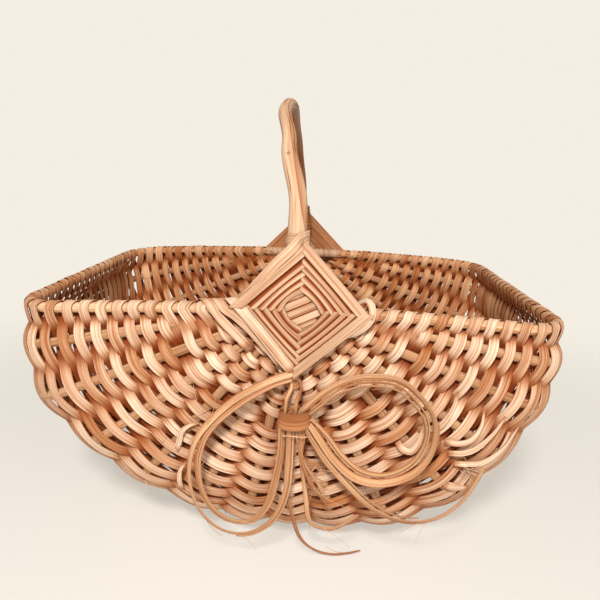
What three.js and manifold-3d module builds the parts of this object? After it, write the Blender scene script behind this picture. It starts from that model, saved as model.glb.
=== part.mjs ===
// Ribbed garden trug: a round-bottomed market basket with a bent hoop handle,
// woven on ribs that fan out from two lashed eyes, with a reed bow in front.
// Millimetres, Z up. X runs along the basket, Y from the front eye to the back.
import * as THREE from 'three';
import Module from 'manifold-3d';

// Clearance between pieces that touch on the real basket.
const GAP = 0.3;

// Rim hoop: a round rod bent to a long rectangle with round corners.
const RIM_HALF_LEFT = 217;
const RIM_HALF_RIGHT = 205;
const RIM_HALF_DEPTH = 150.5;
const RIM_CORNER_RADIUS = 36;
const RIM_ROD_RADIUS = 4;
const RIM_END_DROP = 8;
const BACK_EYE_SHIFT = -6;

// Body below the rim.
const KEEL_DEPTH = 203;
const BOTTOM_CORNER_RADIUS = 62;
const SWELL_LEFT = 2.2;
const SWELL_RIGHT = 2.35;

// Ribs, by their angle below the rim plane, counted from the rim downwards,
// and how far each stands out from the body's even curve.
const RIB_ANGLES_LEFT = [8.5, 21, 35.5, 50, 65.5, 79];
const RIB_ANGLES_RIGHT = [7.5, 18.5, 33, 48, 65, 79];
const RIB_BULGES_LEFT = [7.5, 11, 2, -1.5, -2.5, 0];
const RIB_BULGES_RIGHT = [4.5, 5, 0.5, 4.5, 5, 0];
const RIB_RADIUS = 3.8;
const RIB_TIP_RADIUS = 1.6;
const RIB_TAPER = 26;
const RIB_START = 31;
const FIRST_RIB_START = 92;
const FLAT_BOTTOM_ANGLE = 75;
const RIB_LIFT = 0.1;

// Handle hoop: one rod whose upper half is the handle and lower half the keel.
const HANDLE_HEIGHT = 160;
const HANDLE_SQUARENESS = 2.5;
const HANDLE_FOOT_RADIUS = 7.2;
const HANDLE_TOP_RADIUS = 5.2;
const KEEL_RADIUS = 4.4;
const CROSSING_RADIUS = 5.6;
const FOOT_HEIGHT = 58;
const KEEL_TAPER_END = 40;
const HANDLE_LEANS = [0, -1.5, -11, -18.5, -16.5, -18, -16, -13, BACK_EYE_SHIFT];

// Woven wall between neighbouring ribs, and the slits where its courses part:
// their size, the wall kept round them, and how far each lip stands in or out.
const WALL_THICKNESS = 5;
const WALL_LEAST_WIDTH = 1.5;
const SLITS_PER_PANEL = 12;
const SLIT_WIDTH = 4;
const SLIT_LEAST_LENGTH = 4;
const SLIT_MOST_LENGTH = 40;
const SLIT_RAIL = 2;
const SLIT_LIP = 1.2;

// Lashed eyes: one flat reed wound outwards round the crossing of the hoops.
const EYE_HALF_DIAGONAL = 48;
const EYE_ROUNDS = 7;
const EYE_STRIP_WIDTH = 7.2;
const EYE_STRIP_THICKNESS = 1;
const EYE_SELF_GAP = 0.5;

// Bindings on the handle's feet.
const BINDING_TURNS = 8;
const BINDING_PITCH = 3.3;
const BINDING_CORD_RADIUS = 1.15;
const BINDING_START = 28;
const FOOT_WRAP_HEIGHT = 9;
const FOOT_WRAP_THICKNESS = 1.2;
const FOOT_WRAP_TILT = 20;
const FOOT_WRAP_ABOVE_EYE = 10;

// Reed bow tied under the front eye. Each strand's points are measured from
// the knot's centre: across, out from the basket's face, and up.
const KNOT_WIDTH = 23;
const KNOT_HEIGHT = 13;
const KNOT_DEPTH = 12;
const KNOT_DROP = 24;
const KNOT_ACROSS = 2.5;
const KNOT_STANDOFF = 17;
const BOW_STRIP_WIDTH = 6.5;
const BOW_STRIP_THICKNESS = 1;
const TAIL_REST_GAP = 0.9;
const FRONT_TAIL_ON_TABLE = [[34, -15.5], [47, -18], [58, -22]];
const BOW_STRANDS = [
  {
    name: 'bow_neck_left',
    tilt: 60,
    points: [[-4.5, -10.8, 27], [-3.5, -8.5, 21], [-6.5, -2, 14], [-7, 0, 7.2]],
  },
  {
    name: 'bow_neck_right',
    tilt: 60,
    points: [[2, -10.8, 27], [4, -8.5, 21], [1.5, -2, 14], [1, 0, 7.2]],
  },
  {
    name: 'bow_loop_left_outer',
    tilt: 50,
    points: [
      [-14, -6, 30], [-27, -2, 25.5], [-45.5, 1, 13.5], [-62.5, 2.5, -3.5], [-74.5, 2.5, -21.5],
      [-79.5, 2.5, -41.5], [-78.5, 2.5, -62.5], [-70.5, 2.5, -82.5], [-56.5, 2.5, -95.5],
      [-40.5, 2.5, -99.5], [-26.5, 2.5, -95.5], [-13.5, 2.5, -83.5], [-5.5, 2.5, -62.5],
      [-3.5, 2.5, -39.5], [-3.3, 2.5, -7.2],
    ],
  },
  {
    name: 'bow_loop_left_inner',
    tilt: 50,
    points: [
      [-12.5, -6, 23.2], [-24, -2, 18.4], [-40.5, 1, 7.6], [-56.3, 2.5, -8.3], [-67.4, 2.5, -25],
      [-71.8, 2.5, -43], [-71.2, 2.5, -58.5], [-65.5, 2.5, -73.5], [-55, 2.5, -84.5],
      [-42, 2.5, -89.5], [-30, 2.5, -86.5], [-19, 2.5, -72], [-12.8, 2.5, -47.5],
      [-9.6, 2.5, -26], [-9.4, 2.5, -7.2],
    ],
  },
  {
    name: 'bow_loop_right_outer',
    tilt: 50,
    points: [
      [8, 2.5, 9.2], [20.5, 2.5, 21.5], [37.5, 2.5, 32.5], [56.5, 2.5, 36.5], [76.5, 2.5, 34.5],
      [92.5, 2.5, 22.5], [103.5, 2.5, 6.5], [105.5, 2.5, -10.5], [100.5, 2.5, -28.5],
      [88.5, 2.5, -41.5], [68.5, 2.5, -48.5], [48.5, 2.5, -45.5], [31.5, 2.5, -31.5],
      [19, 2.5, -14], [12.2, 2.5, -4],
    ],
  },
  {
    name: 'bow_loop_right_inner',
    tilt: 50,
    points: [
      [12.2, 2.5, 5], [26, 2.5, 17.5], [40, 2.5, 26], [57, 2.5, 29.5], [74, 2.5, 27.5],
      [87, 2.5, 17.5], [96.5, 2.5, 4.5], [98.5, 2.5, -10], [93.5, 2.5, -25], [83.5, 2.5, -35.5],
      [68, 2.5, -41.5], [51.5, 2.5, -38.5], [37, 2.5, -26.5], [24, 2.5, -10], [12.2, 2.5, 0.5],
    ],
  },
  {
    name: 'bow_tail_right',
    tilt: 25,
    points: [
      [8.5, 2.5, -7.2], [24.5, 2.5, -32.5], [42, 2, -52], [60.5, 1, -70], [80, 0.5, -80],
      [98, 0, -82], [115, -1, -77], [130, -3, -65.5], [141, -5, -49], [147.5, -7, -34],
    ],
  },
  {
    name: 'bow_tail_short',
    tilt: 25,
    points: [[2.7, 2.5, -7.2], [7, 2.5, -34.5], [15.5, 1, -54.5], [24.5, -1, -67.5], [28.5, -2, -73.5]],
  },
  {
    name: 'bow_tail_under',
    tilt: 25,
    points: [
      [3, -4, -7.2], [6, -5, -36.5], [10.5, -6.5, -66], [15.5, -8, -92.5], [25.5, -10, -98.5],
      [33.5, -10, -98.5], [42.5, -10, -93.5], [53.5, -10, -84.5],
    ],
  },
  {
    name: 'bow_tail_front',
    tilt: 5,
    points: [[-7, -3.5, -7.2], [-6, -4.5, -36], [-4.5, -5, -63.5], [0.5, -4, -83.5], [8, -7.5, -107],
      [20, -13, -121]],
    table: FRONT_TAIL_ON_TABLE,
  },
];

// Mesh detail.
const RIB_SIDES = 8;
const HOOP_SIDES = 10;
const ARC_STEPS = 6;
const FACE_STEPS = 5;
const SIDE_STEPS = 4;
const ARCH_STEPS = 36;
const BINDING_STEPS = 24;
const BINDING_SIDES = 6;
const RIBBON_STEPS = 2;
const WRAP_STEPS = 16;

const wasm = await Module();
wasm.setup();

const group = new THREE.Group();
group.name = 'garden_trug';

const rad = (degrees) => (degrees * Math.PI) / 180;
const lerp = (a, b, t) => a + (b - a) * t;
const vec = (x, y, z) => new THREE.Vector3(x, y, z);

function smooth(t) {
  const s = Math.min(1, Math.max(0, t));
  return s * s * (3 - 2 * s);
}

const REED_ROD = { color: 0xd9ae84, roughness: 0.62 };
const HANDLE_WOOD = { color: 0xe3bd95, roughness: 0.55 };
const REED_FLAT = { color: 0xdeb088, roughness: 0.6 };
const REED_EYE = { color: 0xe2b78f, roughness: 0.58 };
const REED_BOW = { color: 0xc98f5c, roughness: 0.6 };
const REED_CORD = { color: 0xb9794a, roughness: 0.7 };

function addPiece(name, geometry, finish) {
  const material = new THREE.MeshStandardMaterial({
    name: `${name}_reed`,
    color: finish.color,
    roughness: finish.roughness,
    metalness: 0,
  });
  const mesh = new THREE.Mesh(geometry, material);
  mesh.name = name;
  group.add(mesh);
}

// Distance from a rod's centre line to the flats of its section.
const flatRadius = (radius, sides) => radius * Math.cos(Math.PI / sides);

// The keel's underside is the level that the basket stands on.
const STANDING_DEPTH = KEEL_DEPTH + flatRadius(KEEL_RADIUS, HOOP_SIDES);

// Distance from the eye to a rib's far side, at an angle below the rim plane.
// The ribs beside the keel are pressed down level with it.
function reach(side, theta) {
  const half = side < 0 ? RIM_HALF_LEFT : RIM_HALF_RIGHT;
  const swell = side < 0 ? SWELL_LEFT : SWELL_RIGHT;
  if (theta > rad(89.9)) {
    return KEEL_DEPTH;
  }
  if (theta >= rad(FLAT_BOTTOM_ANGLE)) {
    const corner = Math.PI / RIB_SIDES;
    const tilt = Math.abs(Math.PI / 2 - theta - corner);
    const below = RIB_RADIUS * Math.cos(tilt);
    return (STANDING_DEPTH - below - RIB_LIFT) / Math.sin(theta);
  }
  const across = Math.abs(Math.cos(theta) / half) ** swell;
  const down = Math.abs(Math.sin(theta) / KEEL_DEPTH) ** swell;
  const angles = side < 0 ? RIB_ANGLES_LEFT : RIB_ANGLES_RIGHT;
  const bulges = side < 0 ? RIB_BULGES_LEFT : RIB_BULGES_RIGHT;
  const order = angles.findIndex((degrees) => Math.abs(rad(degrees) - theta) < 1e-6);
  return (across + down) ** (-1 / swell) + (bulges[order] ?? 0);
}

const cornerRadius = (theta) => lerp(RIM_CORNER_RADIUS, BOTTOM_CORNER_RADIUS, Math.sin(theta));

// A point of the rib at an angle, from its distance to the line between the
// eyes and its depth in Y.
function fanPoint(side, theta, out, y) {
  const half = side < 0 ? RIM_HALF_LEFT : RIM_HALF_RIGHT;
  const toward = 0.5 + (0.5 * y) / RIM_HALF_DEPTH;
  const skew = BACK_EYE_SHIFT * toward * Math.max(0, 1 - out / reach(side, theta));
  const across = side * out * Math.cos(theta);
  const drop = RIM_END_DROP * (across / half) ** 2 * Math.cos(theta);
  return vec(across + skew, y, -out * Math.sin(theta) - drop);
}

// Centre-line stations of a rib from one eye round to the other: along the
// front face, round the corner, along the end, and back in mirror image.
function ribStations(side, theta, start) {
  const far = reach(side, theta);
  const corner = cornerRadius(theta);
  const face = far - corner;
  const half = [];
  for (let i = 0; i <= FACE_STEPS; i += 1) {
    half.push([lerp(start, face, i / FACE_STEPS), -RIM_HALF_DEPTH]);
  }
  for (let i = 1; i <= ARC_STEPS; i += 1) {
    const turn = (i / ARC_STEPS) * (Math.PI / 2);
    const out = face + corner * Math.sin(turn);
    half.push([out, -RIM_HALF_DEPTH + corner * (1 - Math.cos(turn))]);
  }
  const sideLength = 2 * (RIM_HALF_DEPTH - corner);
  const along = [];
  for (let i = 1; i < SIDE_STEPS; i += 1) {
    along.push([far, -RIM_HALF_DEPTH + corner + (sideLength * i) / SIDE_STEPS]);
  }
  const mirrored = half.map(([out, y]) => [out, -y]).reverse();
  return [...half, ...along, ...mirrored].map(([out, y]) => ({
    out,
    point: fanPoint(side, theta, out, y),
  }));
}

// Unit tangents of a line of points.
function tangents(points, closed) {
  const n = points.length;
  return points.map((p, i) => {
    const before = closed ? points[(i + n - 1) % n] : points[Math.max(0, i - 1)];
    const after = closed ? points[(i + 1) % n] : points[Math.min(n - 1, i + 1)];
    return after.clone().sub(before).normalize();
  });
}

// Joins rings of points into one closed body. The rings run anticlockwise
// seen from the way that the line of rings comes from, so faces look outwards.
// A slit, kept under the number of the ring before it, runs through the body
// from the first side of a four-sided section to the third: four points on
// each of them.
function skin(rings, closed, slits = new Map()) {
  const sides = rings[0].length;
  const positions = [];
  const index = [];
  rings.forEach((ring) => ring.forEach((p) => positions.push(p.x, p.y, p.z)));
  const count = closed ? rings.length : rings.length - 1;
  const quad = (p, q, r, s) => index.push(p, q, r, p, r, s);
  for (let i = 0; i < count; i += 1) {
    const a = i * sides;
    const b = ((i + 1) % rings.length) * sides;
    const slit = slits.get(i);
    for (let j = 0; j < sides; j += 1) {
      const k = (j + 1) % sides;
      if (!slit || j % 2 === 1) {
        quad(a + j, a + k, b + k, b + j);
      }
    }
    if (slit) {
      const first = positions.length / 3;
      slit.forEach((p) => positions.push(p.x, p.y, p.z));
      const outer = [a, a + 1, b + 1, b];
      const inner = [a + 3, a + 2, b + 2, b + 3];
      for (let m = 0; m < 4; m += 1) {
        const n = (m + 1) % 4;
        quad(outer[m], outer[n], first + n, first + m);
        quad(inner[n], inner[m], first + 4 + m, first + 4 + n);
        quad(first + m, first + n, first + 4 + n, first + 4 + m);
      }
    }
  }
  if (!closed) {
    const last = (rings.length - 1) * sides;
    for (let j = 1; j < sides - 1; j += 1) {
      index.push(0, j + 1, j);
      index.push(last, last + j, last + j + 1);
    }
  }
  const geometry = new THREE.BufferGeometry();
  geometry.setAttribute('position', new THREE.Float32BufferAttribute(positions, 3));
  geometry.setIndex(index);
  return outwards(geometry);
}

// Turns a closed body's faces round when its volume comes out negative.
function outwards(geometry) {
  const at = geometry.getAttribute('position');
  const index = geometry.getIndex().array;
  const p = [vec(0, 0, 0), vec(0, 0, 0), vec(0, 0, 0)];
  let volume = 0;
  for (let i = 0; i < index.length; i += 3) {
    p.forEach((v, k) => v.fromBufferAttribute(at, index[i + k]));
    volume += p[0].dot(p[1].clone().cross(p[2]));
  }
  if (volume < 0) {
    const turned = [];
    for (let i = 0; i < index.length; i += 3) {
      turned.push(index[i], index[i + 2], index[i + 1]);
    }
    geometry.setIndex(turned);
  }
  geometry.computeVertexNormals();
  return geometry;
}

// A round rod along a line of points. Each section is a regular polygon with
// one flat facing the outer side, given the direction square to the rod's plane.
function rod(points, planeNormal, radii, sides, closed) {
  const along = tangents(points, closed);
  const rings = points.map((p, i) => {
    const across = planeNormal.clone().addScaledVector(along[i], -planeNormal.dot(along[i]));
    across.normalize();
    const outer = along[i].clone().cross(across);
    const ring = [];
    for (let j = 0; j < sides; j += 1) {
      const turn = ((j + 0.5) / sides) * 2 * Math.PI;
      const v = p.clone();
      v.addScaledVector(outer, radii[i] * Math.cos(turn));
      v.addScaledVector(across, radii[i] * Math.sin(turn));
      ring.push(v);
    }
    return ring;
  });
  return skin(rings, closed);
}

// A flat strip along a line of points, with its face normal at each point.
function strip(points, normals, width, thickness) {
  const along = tangents(points, false);
  const rings = points.map((p, i) => {
    const n = normals[i].clone().addScaledVector(along[i], -normals[i].dot(along[i])).normalize();
    const w = along[i].clone().cross(n);
    const corner = (a, b) => p.clone()
      .addScaledVector(w, (a * width) / 2)
      .addScaledVector(n, (b * thickness) / 2);
    return [corner(-1, -1), corner(1, -1), corner(1, 1), corner(-1, 1)];
  });
  return skin(rings, false);
}

// Rim hoop, one closed rod, with its ends lower than its middle.
function rimPath() {
  const right = ribStations(1, 0, 0);
  const left = ribStations(-1, 0, 0).reverse();
  return [...right.map((s) => s.point), ...left.slice(1, -1).map((s) => s.point)];
}

// Handle hoop path: an arch over the rim, then the keel below it.
function archPoint(t) {
  const turn = t * Math.PI;
  const power = 2 / HANDLE_SQUARENESS;
  const y = -Math.sign(Math.cos(turn)) * RIM_HALF_DEPTH * Math.abs(Math.cos(turn)) ** power;
  const z = HANDLE_HEIGHT * Math.abs(Math.sin(turn)) ** power;
  const place = t * (HANDLE_LEANS.length - 1);
  const i = Math.min(HANDLE_LEANS.length - 2, Math.floor(place));
  const x = lerp(HANDLE_LEANS[i], HANDLE_LEANS[i + 1], smooth(place - i));
  return vec(x, y, z);
}

function hoopRadius(p) {
  if (p.z >= 0) {
    const foot = lerp(CROSSING_RADIUS, HANDLE_FOOT_RADIUS, smooth(p.z / FOOT_HEIGHT));
    const upper = (p.z - FOOT_HEIGHT) / (HANDLE_HEIGHT - FOOT_HEIGHT);
    return lerp(foot, HANDLE_TOP_RADIUS, smooth(upper));
  }
  return lerp(CROSSING_RADIUS, KEEL_RADIUS, smooth(-p.z / KEEL_TAPER_END));
}

function hoopPath() {
  const arch = [];
  for (let i = 0; i <= ARCH_STEPS; i += 1) {
    arch.push(archPoint(i / ARCH_STEPS));
  }
  const keel = ribStations(1, Math.PI / 2, RIM_ROD_RADIUS + CROSSING_RADIUS).reverse();
  return [...arch, ...keel.map((s) => s.point)];
}

// A block that cuts one half of a rod where the two hoops cross.
function crossingBlock(center, size) {
  const block = wasm.Manifold.cube([size.x, size.y, size.z], true);
  return block.translate([center.x, center.y, center.z]);
}

function toManifold(geometry) {
  const mesh = new wasm.Mesh({
    numProp: 3,
    vertProperties: new Float32Array(geometry.getAttribute('position').array),
    triVerts: new Uint32Array(geometry.getIndex().array),
  });
  return new wasm.Manifold(mesh);
}

function fromManifold(body) {
  const mesh = body.getMesh();
  const geometry = new THREE.BufferGeometry();
  const positions = new Float32Array(mesh.vertProperties);
  geometry.setAttribute('position', new THREE.BufferAttribute(positions, 3));
  geometry.setIndex(Array.from(mesh.triVerts));
  geometry.computeVertexNormals();
  return geometry;
}

// The hoops cross in a half lap: the rim keeps its outer half and the handle
// hoop its inner half.
const rimPoints = rimPath();
const rimRadii = rimPoints.map(() => RIM_ROD_RADIUS);
let rim = toManifold(rod(rimPoints, vec(0, 0, 1), rimRadii, RIB_SIDES, true));
const hoopPoints = hoopPath();
const hoopRadii = hoopPoints.map(hoopRadius);
let hoop = toManifold(rod(hoopPoints, vec(1, 0, 0), hoopRadii, HOOP_SIDES, true));
const LAP_DEPTH = 4 * HANDLE_FOOT_RADIUS;
[-1, 1].forEach((end) => {
  const x = end < 0 ? 0 : BACK_EYE_SHIFT;
  const seam = end * RIM_HALF_DEPTH;
  const rimCut = crossingBlock(
    vec(x, seam - end * (LAP_DEPTH / 2 - GAP / 2), 0),
    vec(2 * (CROSSING_RADIUS + 2 * GAP), LAP_DEPTH, 4 * RIM_ROD_RADIUS),
  );
  const hoopCut = crossingBlock(
    vec(x, seam + end * (LAP_DEPTH / 2 - GAP / 2), 0),
    vec(LAP_DEPTH, LAP_DEPTH, 2 * (RIM_ROD_RADIUS + GAP)),
  );
  rim = rim.subtract(rimCut);
  hoop = hoop.subtract(hoopCut);
});
addPiece('rim_hoop', fromManifold(rim), REED_ROD);
addPiece('handle_and_keel_hoop', fromManifold(hoop), HANDLE_WOOD);

// Ribs with whittled tips that tuck in behind the eyes. A tip starts where it
// has room beside its neighbours.
function tipStart(theta, neighbour, neighbourRadius) {
  const room = RIB_TIP_RADIUS + neighbourRadius + 2 * GAP;
  return room / Math.sin(Math.abs(neighbour - theta));
}

function ribStart(angles, order) {
  if (order === 0) {
    return FIRST_RIB_START;
  }
  const theta = rad(angles[order]);
  const isLast = order === angles.length - 1;
  const below = isLast ? Math.PI / 2 : rad(angles[order + 1]);
  const belowRadius = isLast ? CROSSING_RADIUS : RIB_RADIUS;
  return Math.max(RIB_START, tipStart(theta, below, belowRadius));
}

function ribRadius(out, y, start) {
  const onFace = Math.abs(Math.abs(y) - RIM_HALF_DEPTH) < 1e-6;
  if (!onFace) {
    return RIB_RADIUS;
  }
  return lerp(RIB_TIP_RADIUS, RIB_RADIUS, Math.min(1, (out - start) / RIB_TAPER));
}

// Unit normal of the plane that a rib lies in.
const ribPlane = (side, theta) => vec(Math.sin(theta), 0, side * Math.cos(theta));

const SIDES = [
  { name: 'left', sign: -1, angles: RIB_ANGLES_LEFT },
  { name: 'right', sign: 1, angles: RIB_ANGLES_RIGHT },
];

// A rib's stations with one more where each taper ends.
function taperedStations(side, theta, start) {
  const end = start + RIB_TAPER;
  const stations = ribStations(side, theta, start);
  const onFace = (s) => Math.abs(s.point.y) > RIM_HALF_DEPTH - 1e-6;
  const inner = stations.filter((s) => s.out > end + 1 || !onFace(s));
  const front = { out: end, point: fanPoint(side, theta, end, -RIM_HALF_DEPTH) };
  const back = { out: end, point: fanPoint(side, theta, end, RIM_HALF_DEPTH) };
  return [stations[0], front, ...inner, back, stations.at(-1)];
}

SIDES.forEach(({ name, sign, angles }) => {
  angles.forEach((degrees, order) => {
    const theta = rad(degrees);
    const start = ribStart(angles, order);
    const stations = taperedStations(sign, theta, start);
    const points = stations.map((s) => s.point);
    const radii = stations.map((s) => ribRadius(s.out, s.point.y, start));
    const body = rod(points, ribPlane(sign, theta), radii, RIB_SIDES, false);
    addPiece(`rib_${name}_${order + 1}`, body, REED_ROD);
  });
});

// Woven wall: one panel between each two neighbouring rods, from the front
// face round the end to the back face, a clearance short of both rods.
function wallLine(side, rodLine, start, upTo) {
  const stations = upTo
    ? [start, upTo].map((out) => ({
      out,
      point: fanPoint(side, rodLine.theta, out, -RIM_HALF_DEPTH),
    }))
    : ribStations(side, rodLine.theta, start);
  return stations.map((s) => s.point);
}

function panelRings(upper, lower, upperRadius, lowerRadius) {
  const alongUpper = tangents(upper, false);
  const alongLower = tangents(lower, false);
  return upper.map((u, i) => {
    const v = lower[i];
    const across = v.clone().sub(u).normalize();
    const upperSine = across.clone().cross(alongUpper[i]).length();
    const lowerSine = across.clone().cross(alongLower[i]).length();
    const top = u.clone().addScaledVector(across, (upperRadius + GAP) / upperSine);
    const bottom = v.clone().addScaledVector(across, -(lowerRadius + GAP) / lowerSine);
    const topNormal = alongUpper[i].clone().cross(across).normalize();
    const bottomNormal = alongLower[i].clone().cross(across).normalize();
    const half = WALL_THICKNESS / 2;
    return [
      top.clone().addScaledVector(topNormal, half),
      bottom.clone().addScaledVector(bottomNormal, half),
      bottom.clone().addScaledVector(bottomNormal, -half),
      top.clone().addScaledVector(topNormal, -half),
    ];
  });
}

// Slits of a panel, evenly along it and in the middle of its width. One lip of
// each stands out and the other in, as courses pass in front of each other,
// and the other way round in the next slit and in the next panel.
function panelSlits(rings, order) {
  const middles = rings.map((ring) => ring[0].clone().lerp(ring[1], 0.5));
  const along = [0];
  for (let i = 1; i < middles.length; i += 1) {
    along.push(along[i - 1] + middles[i].distanceTo(middles[i - 1]));
  }
  const slits = new Map();
  const room = SLIT_WIDTH / 2 + SLIT_RAIL;
  for (let n = 0; n < SLITS_PER_PANEL; n += 1) {
    const wanted = (along.at(-1) * (n + 0.5)) / SLITS_PER_PANEL;
    const i = along.findLastIndex((place) => place <= wanted);
    const place = Math.min(along[i + 1] - room, Math.max(along[i] + room, wanted));
    const share = (end) => (place + (end * SLIT_WIDTH) / 2 - along[i]) / (along[i + 1] - along[i]);
    const at = ([p, q], u, v) => {
      const before = rings[i][p].clone().lerp(rings[i][q], v);
      const after = rings[i + 1][p].clone().lerp(rings[i + 1][q], v);
      return before.lerp(after, u);
    };
    const [outer, inner] = [[0, 1], [3, 2]];
    const width = at(outer, 0.5, 0).distanceTo(at(outer, 0.5, 1));
    const length = Math.min(SLIT_MOST_LENGTH, width - 2 * SLIT_RAIL);
    if (length < SLIT_LEAST_LENGTH) {
      continue;
    }
    const edge = length / (2 * width);
    const lip = (n + order) % 2 === 0 ? SLIT_LIP : -SLIT_LIP;
    const corners = [[-1, -1], [-1, 1], [1, 1], [1, -1]];
    slits.set(i, [outer, inner].flatMap((face) => corners.map(([end, side]) => {
      const [u, v] = [share(end), 0.5 + side * edge];
      const normal = at(outer, u, v).sub(at(inner, u, v)).normalize();
      return at(face, u, v).addScaledVector(normal, -end * lip);
    })));
  }
  return slits;
}

function panelStart(a, b) {
  const room = a.radius + b.radius + 2 * GAP + WALL_LEAST_WIDTH;
  return room / (2 * Math.sin(Math.abs(b.theta - a.theta) / 2));
}

SIDES.forEach(({ name, sign, angles }) => {
  const lines = [
    { theta: 0, radius: RIM_ROD_RADIUS },
    ...angles.map((degrees) => ({ theta: rad(degrees), radius: RIB_RADIUS })),
    { theta: Math.PI / 2, radius: KEEL_RADIUS },
  ];
  for (let i = 0; i + 1 < lines.length; i += 1) {
    const [a, b] = [lines[i], lines[i + 1]];
    const room = panelStart(a, b);
    const start = i <= 1 ? Math.max(FIRST_RIB_START, room) : room;
    const upper = wallLine(sign, a, start);
    const lower = wallLine(sign, b, start);
    const rings = panelRings(upper, lower, a.radius, b.radius);
    const body = skin(rings, false, panelSlits(rings, i));
    addPiece(`woven_panel_${name}_${i + 1}`, body, REED_FLAT);
  }
  const [rimLine, secondRib] = [lines[0], lines[2]];
  const inner = panelStart(rimLine, secondRib);
  const outer = FIRST_RIB_START - GAP;
  const upper = wallLine(sign, rimLine, inner, outer);
  const lower = wallLine(sign, secondRib, inner, outer);
  const front = panelRings(upper, lower, rimLine.radius, secondRib.radius);
  const shift = vec(0, 2 * RIM_HALF_DEPTH, 0);
  const skewed = (p) => {
    const share = 1 - Math.hypot(p.x, p.z) / reach(sign, secondRib.theta);
    return p.clone().add(shift).setX(p.x + BACK_EYE_SHIFT * share);
  };
  const back = front.map((ring) => ring.map(skewed));
  addPiece(`woven_throat_${name}_front`, skin(front, false), REED_FLAT);
  addPiece(`woven_throat_${name}_back`, skin(back, false), REED_FLAT);
});

// Lashed eyes. The strip's outer edge leans back on to the rods and its inner
// edge lies over the round before it.
const quarterNormal = (k) => {
  const turn = Math.PI / 4 + (k * Math.PI) / 2;
  return { x: Math.cos(turn), z: Math.sin(turn) };
};

function eyeRings() {
  const quarters = 4 * EYE_ROUNDS;
  const first = EYE_STRIP_WIDTH / 2 + EYE_STRIP_THICKNESS / 2;
  const last = EYE_HALF_DIAGONAL / Math.SQRT2 - EYE_STRIP_WIDTH / 2;
  const pitch = (4 * (last - first)) / (quarters - 1);
  const lean = Math.asin((EYE_STRIP_THICKNESS + EYE_SELF_GAP) / pitch);
  const rings = [];
  for (let k = 0; k <= quarters; k += 1) {
    const before = first + ((k - 1) * pitch) / 4;
    const after = first + (k * pitch) / 4;
    const corner = (a, b) => {
      const w = (a * EYE_STRIP_WIDTH) / 2;
      const t = (b * EYE_STRIP_THICKNESS) / 2;
      const shift = w * Math.cos(lean) + t * Math.sin(lean);
      const height = t * Math.cos(lean) - w * Math.sin(lean);
      const n = quarterNormal(k - 1);
      const m = quarterNormal(k);
      const x = (before + shift) * n.x + (after + shift) * m.x;
      const z = (before + shift) * n.z + (after + shift) * m.z;
      return vec(x, height, z);
    };
    rings.push([corner(-1, -1), corner(1, -1), corner(1, 1), corner(-1, 1)]);
  }
  const lowest = (EYE_STRIP_WIDTH * Math.sin(lean) + EYE_STRIP_THICKNESS * Math.cos(lean)) / 2;
  const selfGap = pitch * Math.sin(lean) - EYE_STRIP_THICKNESS;
  return { rings, lowest, selfGap };
}

// How far the handle hoop stands out behind an eye.
function hoopFront(sign) {
  const behind = hoopPoints
    .map((p, i) => ({ p, out: sign * p.y + hoopRadii[i] }))
    .filter(({ p }) => sign * p.y > 0 && Math.abs(p.z) < EYE_HALF_DIAGONAL);
  return Math.max(...behind.map(({ out }) => out));
}

// A point of the handle's leg at a height over the rim.
function legPoint(sign, z) {
  const turn = Math.asin((z / HANDLE_HEIGHT) ** (HANDLE_SQUARENESS / 2));
  const t = sign < 0 ? turn / Math.PI : 1 - turn / Math.PI;
  return archPoint(t);
}

function legFrame(sign, z) {
  const center = legPoint(sign, z);
  const up = legPoint(sign, z + 1).sub(legPoint(sign, z - 1)).normalize();
  const across = vec(1, 0, 0).addScaledVector(up, -up.x).normalize();
  const forward = up.clone().cross(across);
  return { center, up, across, forward };
}

// Cord binding wound up the back leg, one unbroken tube.
function bindingPoints() {
  const points = [];
  const steps = BINDING_TURNS * BINDING_STEPS;
  for (let i = 0; i <= steps; i += 1) {
    const turn = (i / BINDING_STEPS) * 2 * Math.PI;
    const z = BINDING_START + (BINDING_PITCH * i) / BINDING_STEPS;
    const frame = legFrame(1, z);
    const radius = hoopRadius(frame.center) + GAP + BINDING_CORD_RADIUS;
    const p = frame.center.clone();
    p.addScaledVector(frame.across, radius * Math.cos(turn));
    p.addScaledVector(frame.forward, radius * Math.sin(turn));
    points.push(p);
  }
  return points;
}

function leastSelfGap(points, skip, diameter) {
  let least = Infinity;
  for (let i = 0; i < points.length; i += 1) {
    for (let j = i + skip; j < points.length; j += 1) {
      least = Math.min(least, points[i].distanceTo(points[j]));
    }
  }
  return least - diameter;
}

const binding = bindingPoints();
const bindingGap = leastSelfGap(binding, BINDING_STEPS / 2, 2 * BINDING_CORD_RADIUS);
console.log(`back binding, least gap to itself: ${bindingGap.toFixed(2)} mm`);
const bindingRadii = binding.map(() => BINDING_CORD_RADIUS);
const bindingBody = rod(binding, vec(0, 0, 1), bindingRadii, BINDING_SIDES, false);
addPiece('back_foot_binding', bindingBody, REED_CORD);
const bindingFront = Math.max(...binding.map((p) => p.y)) + BINDING_CORD_RADIUS;

// The front eye lies on the handle hoop, the back one on the leg's binding.
const eye = eyeRings();
console.log(`eye winding, least gap to itself: ${eye.selfGap.toFixed(2)} mm`);
[['front', -1, 0], ['back', 1, BACK_EYE_SHIFT]].forEach(([name, sign, x]) => {
  const behind = Math.max(hoopFront(sign), sign > 0 ? bindingFront : 0);
  const plane = behind + GAP + eye.lowest;
  const place = (p) => vec(p.x + x, sign * (plane + p.y), p.z);
  const body = skin(eye.rings.map((ring) => ring.map(place)), false);
  addPiece(`gods_eye_${name}`, body, REED_EYE);
});

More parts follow.
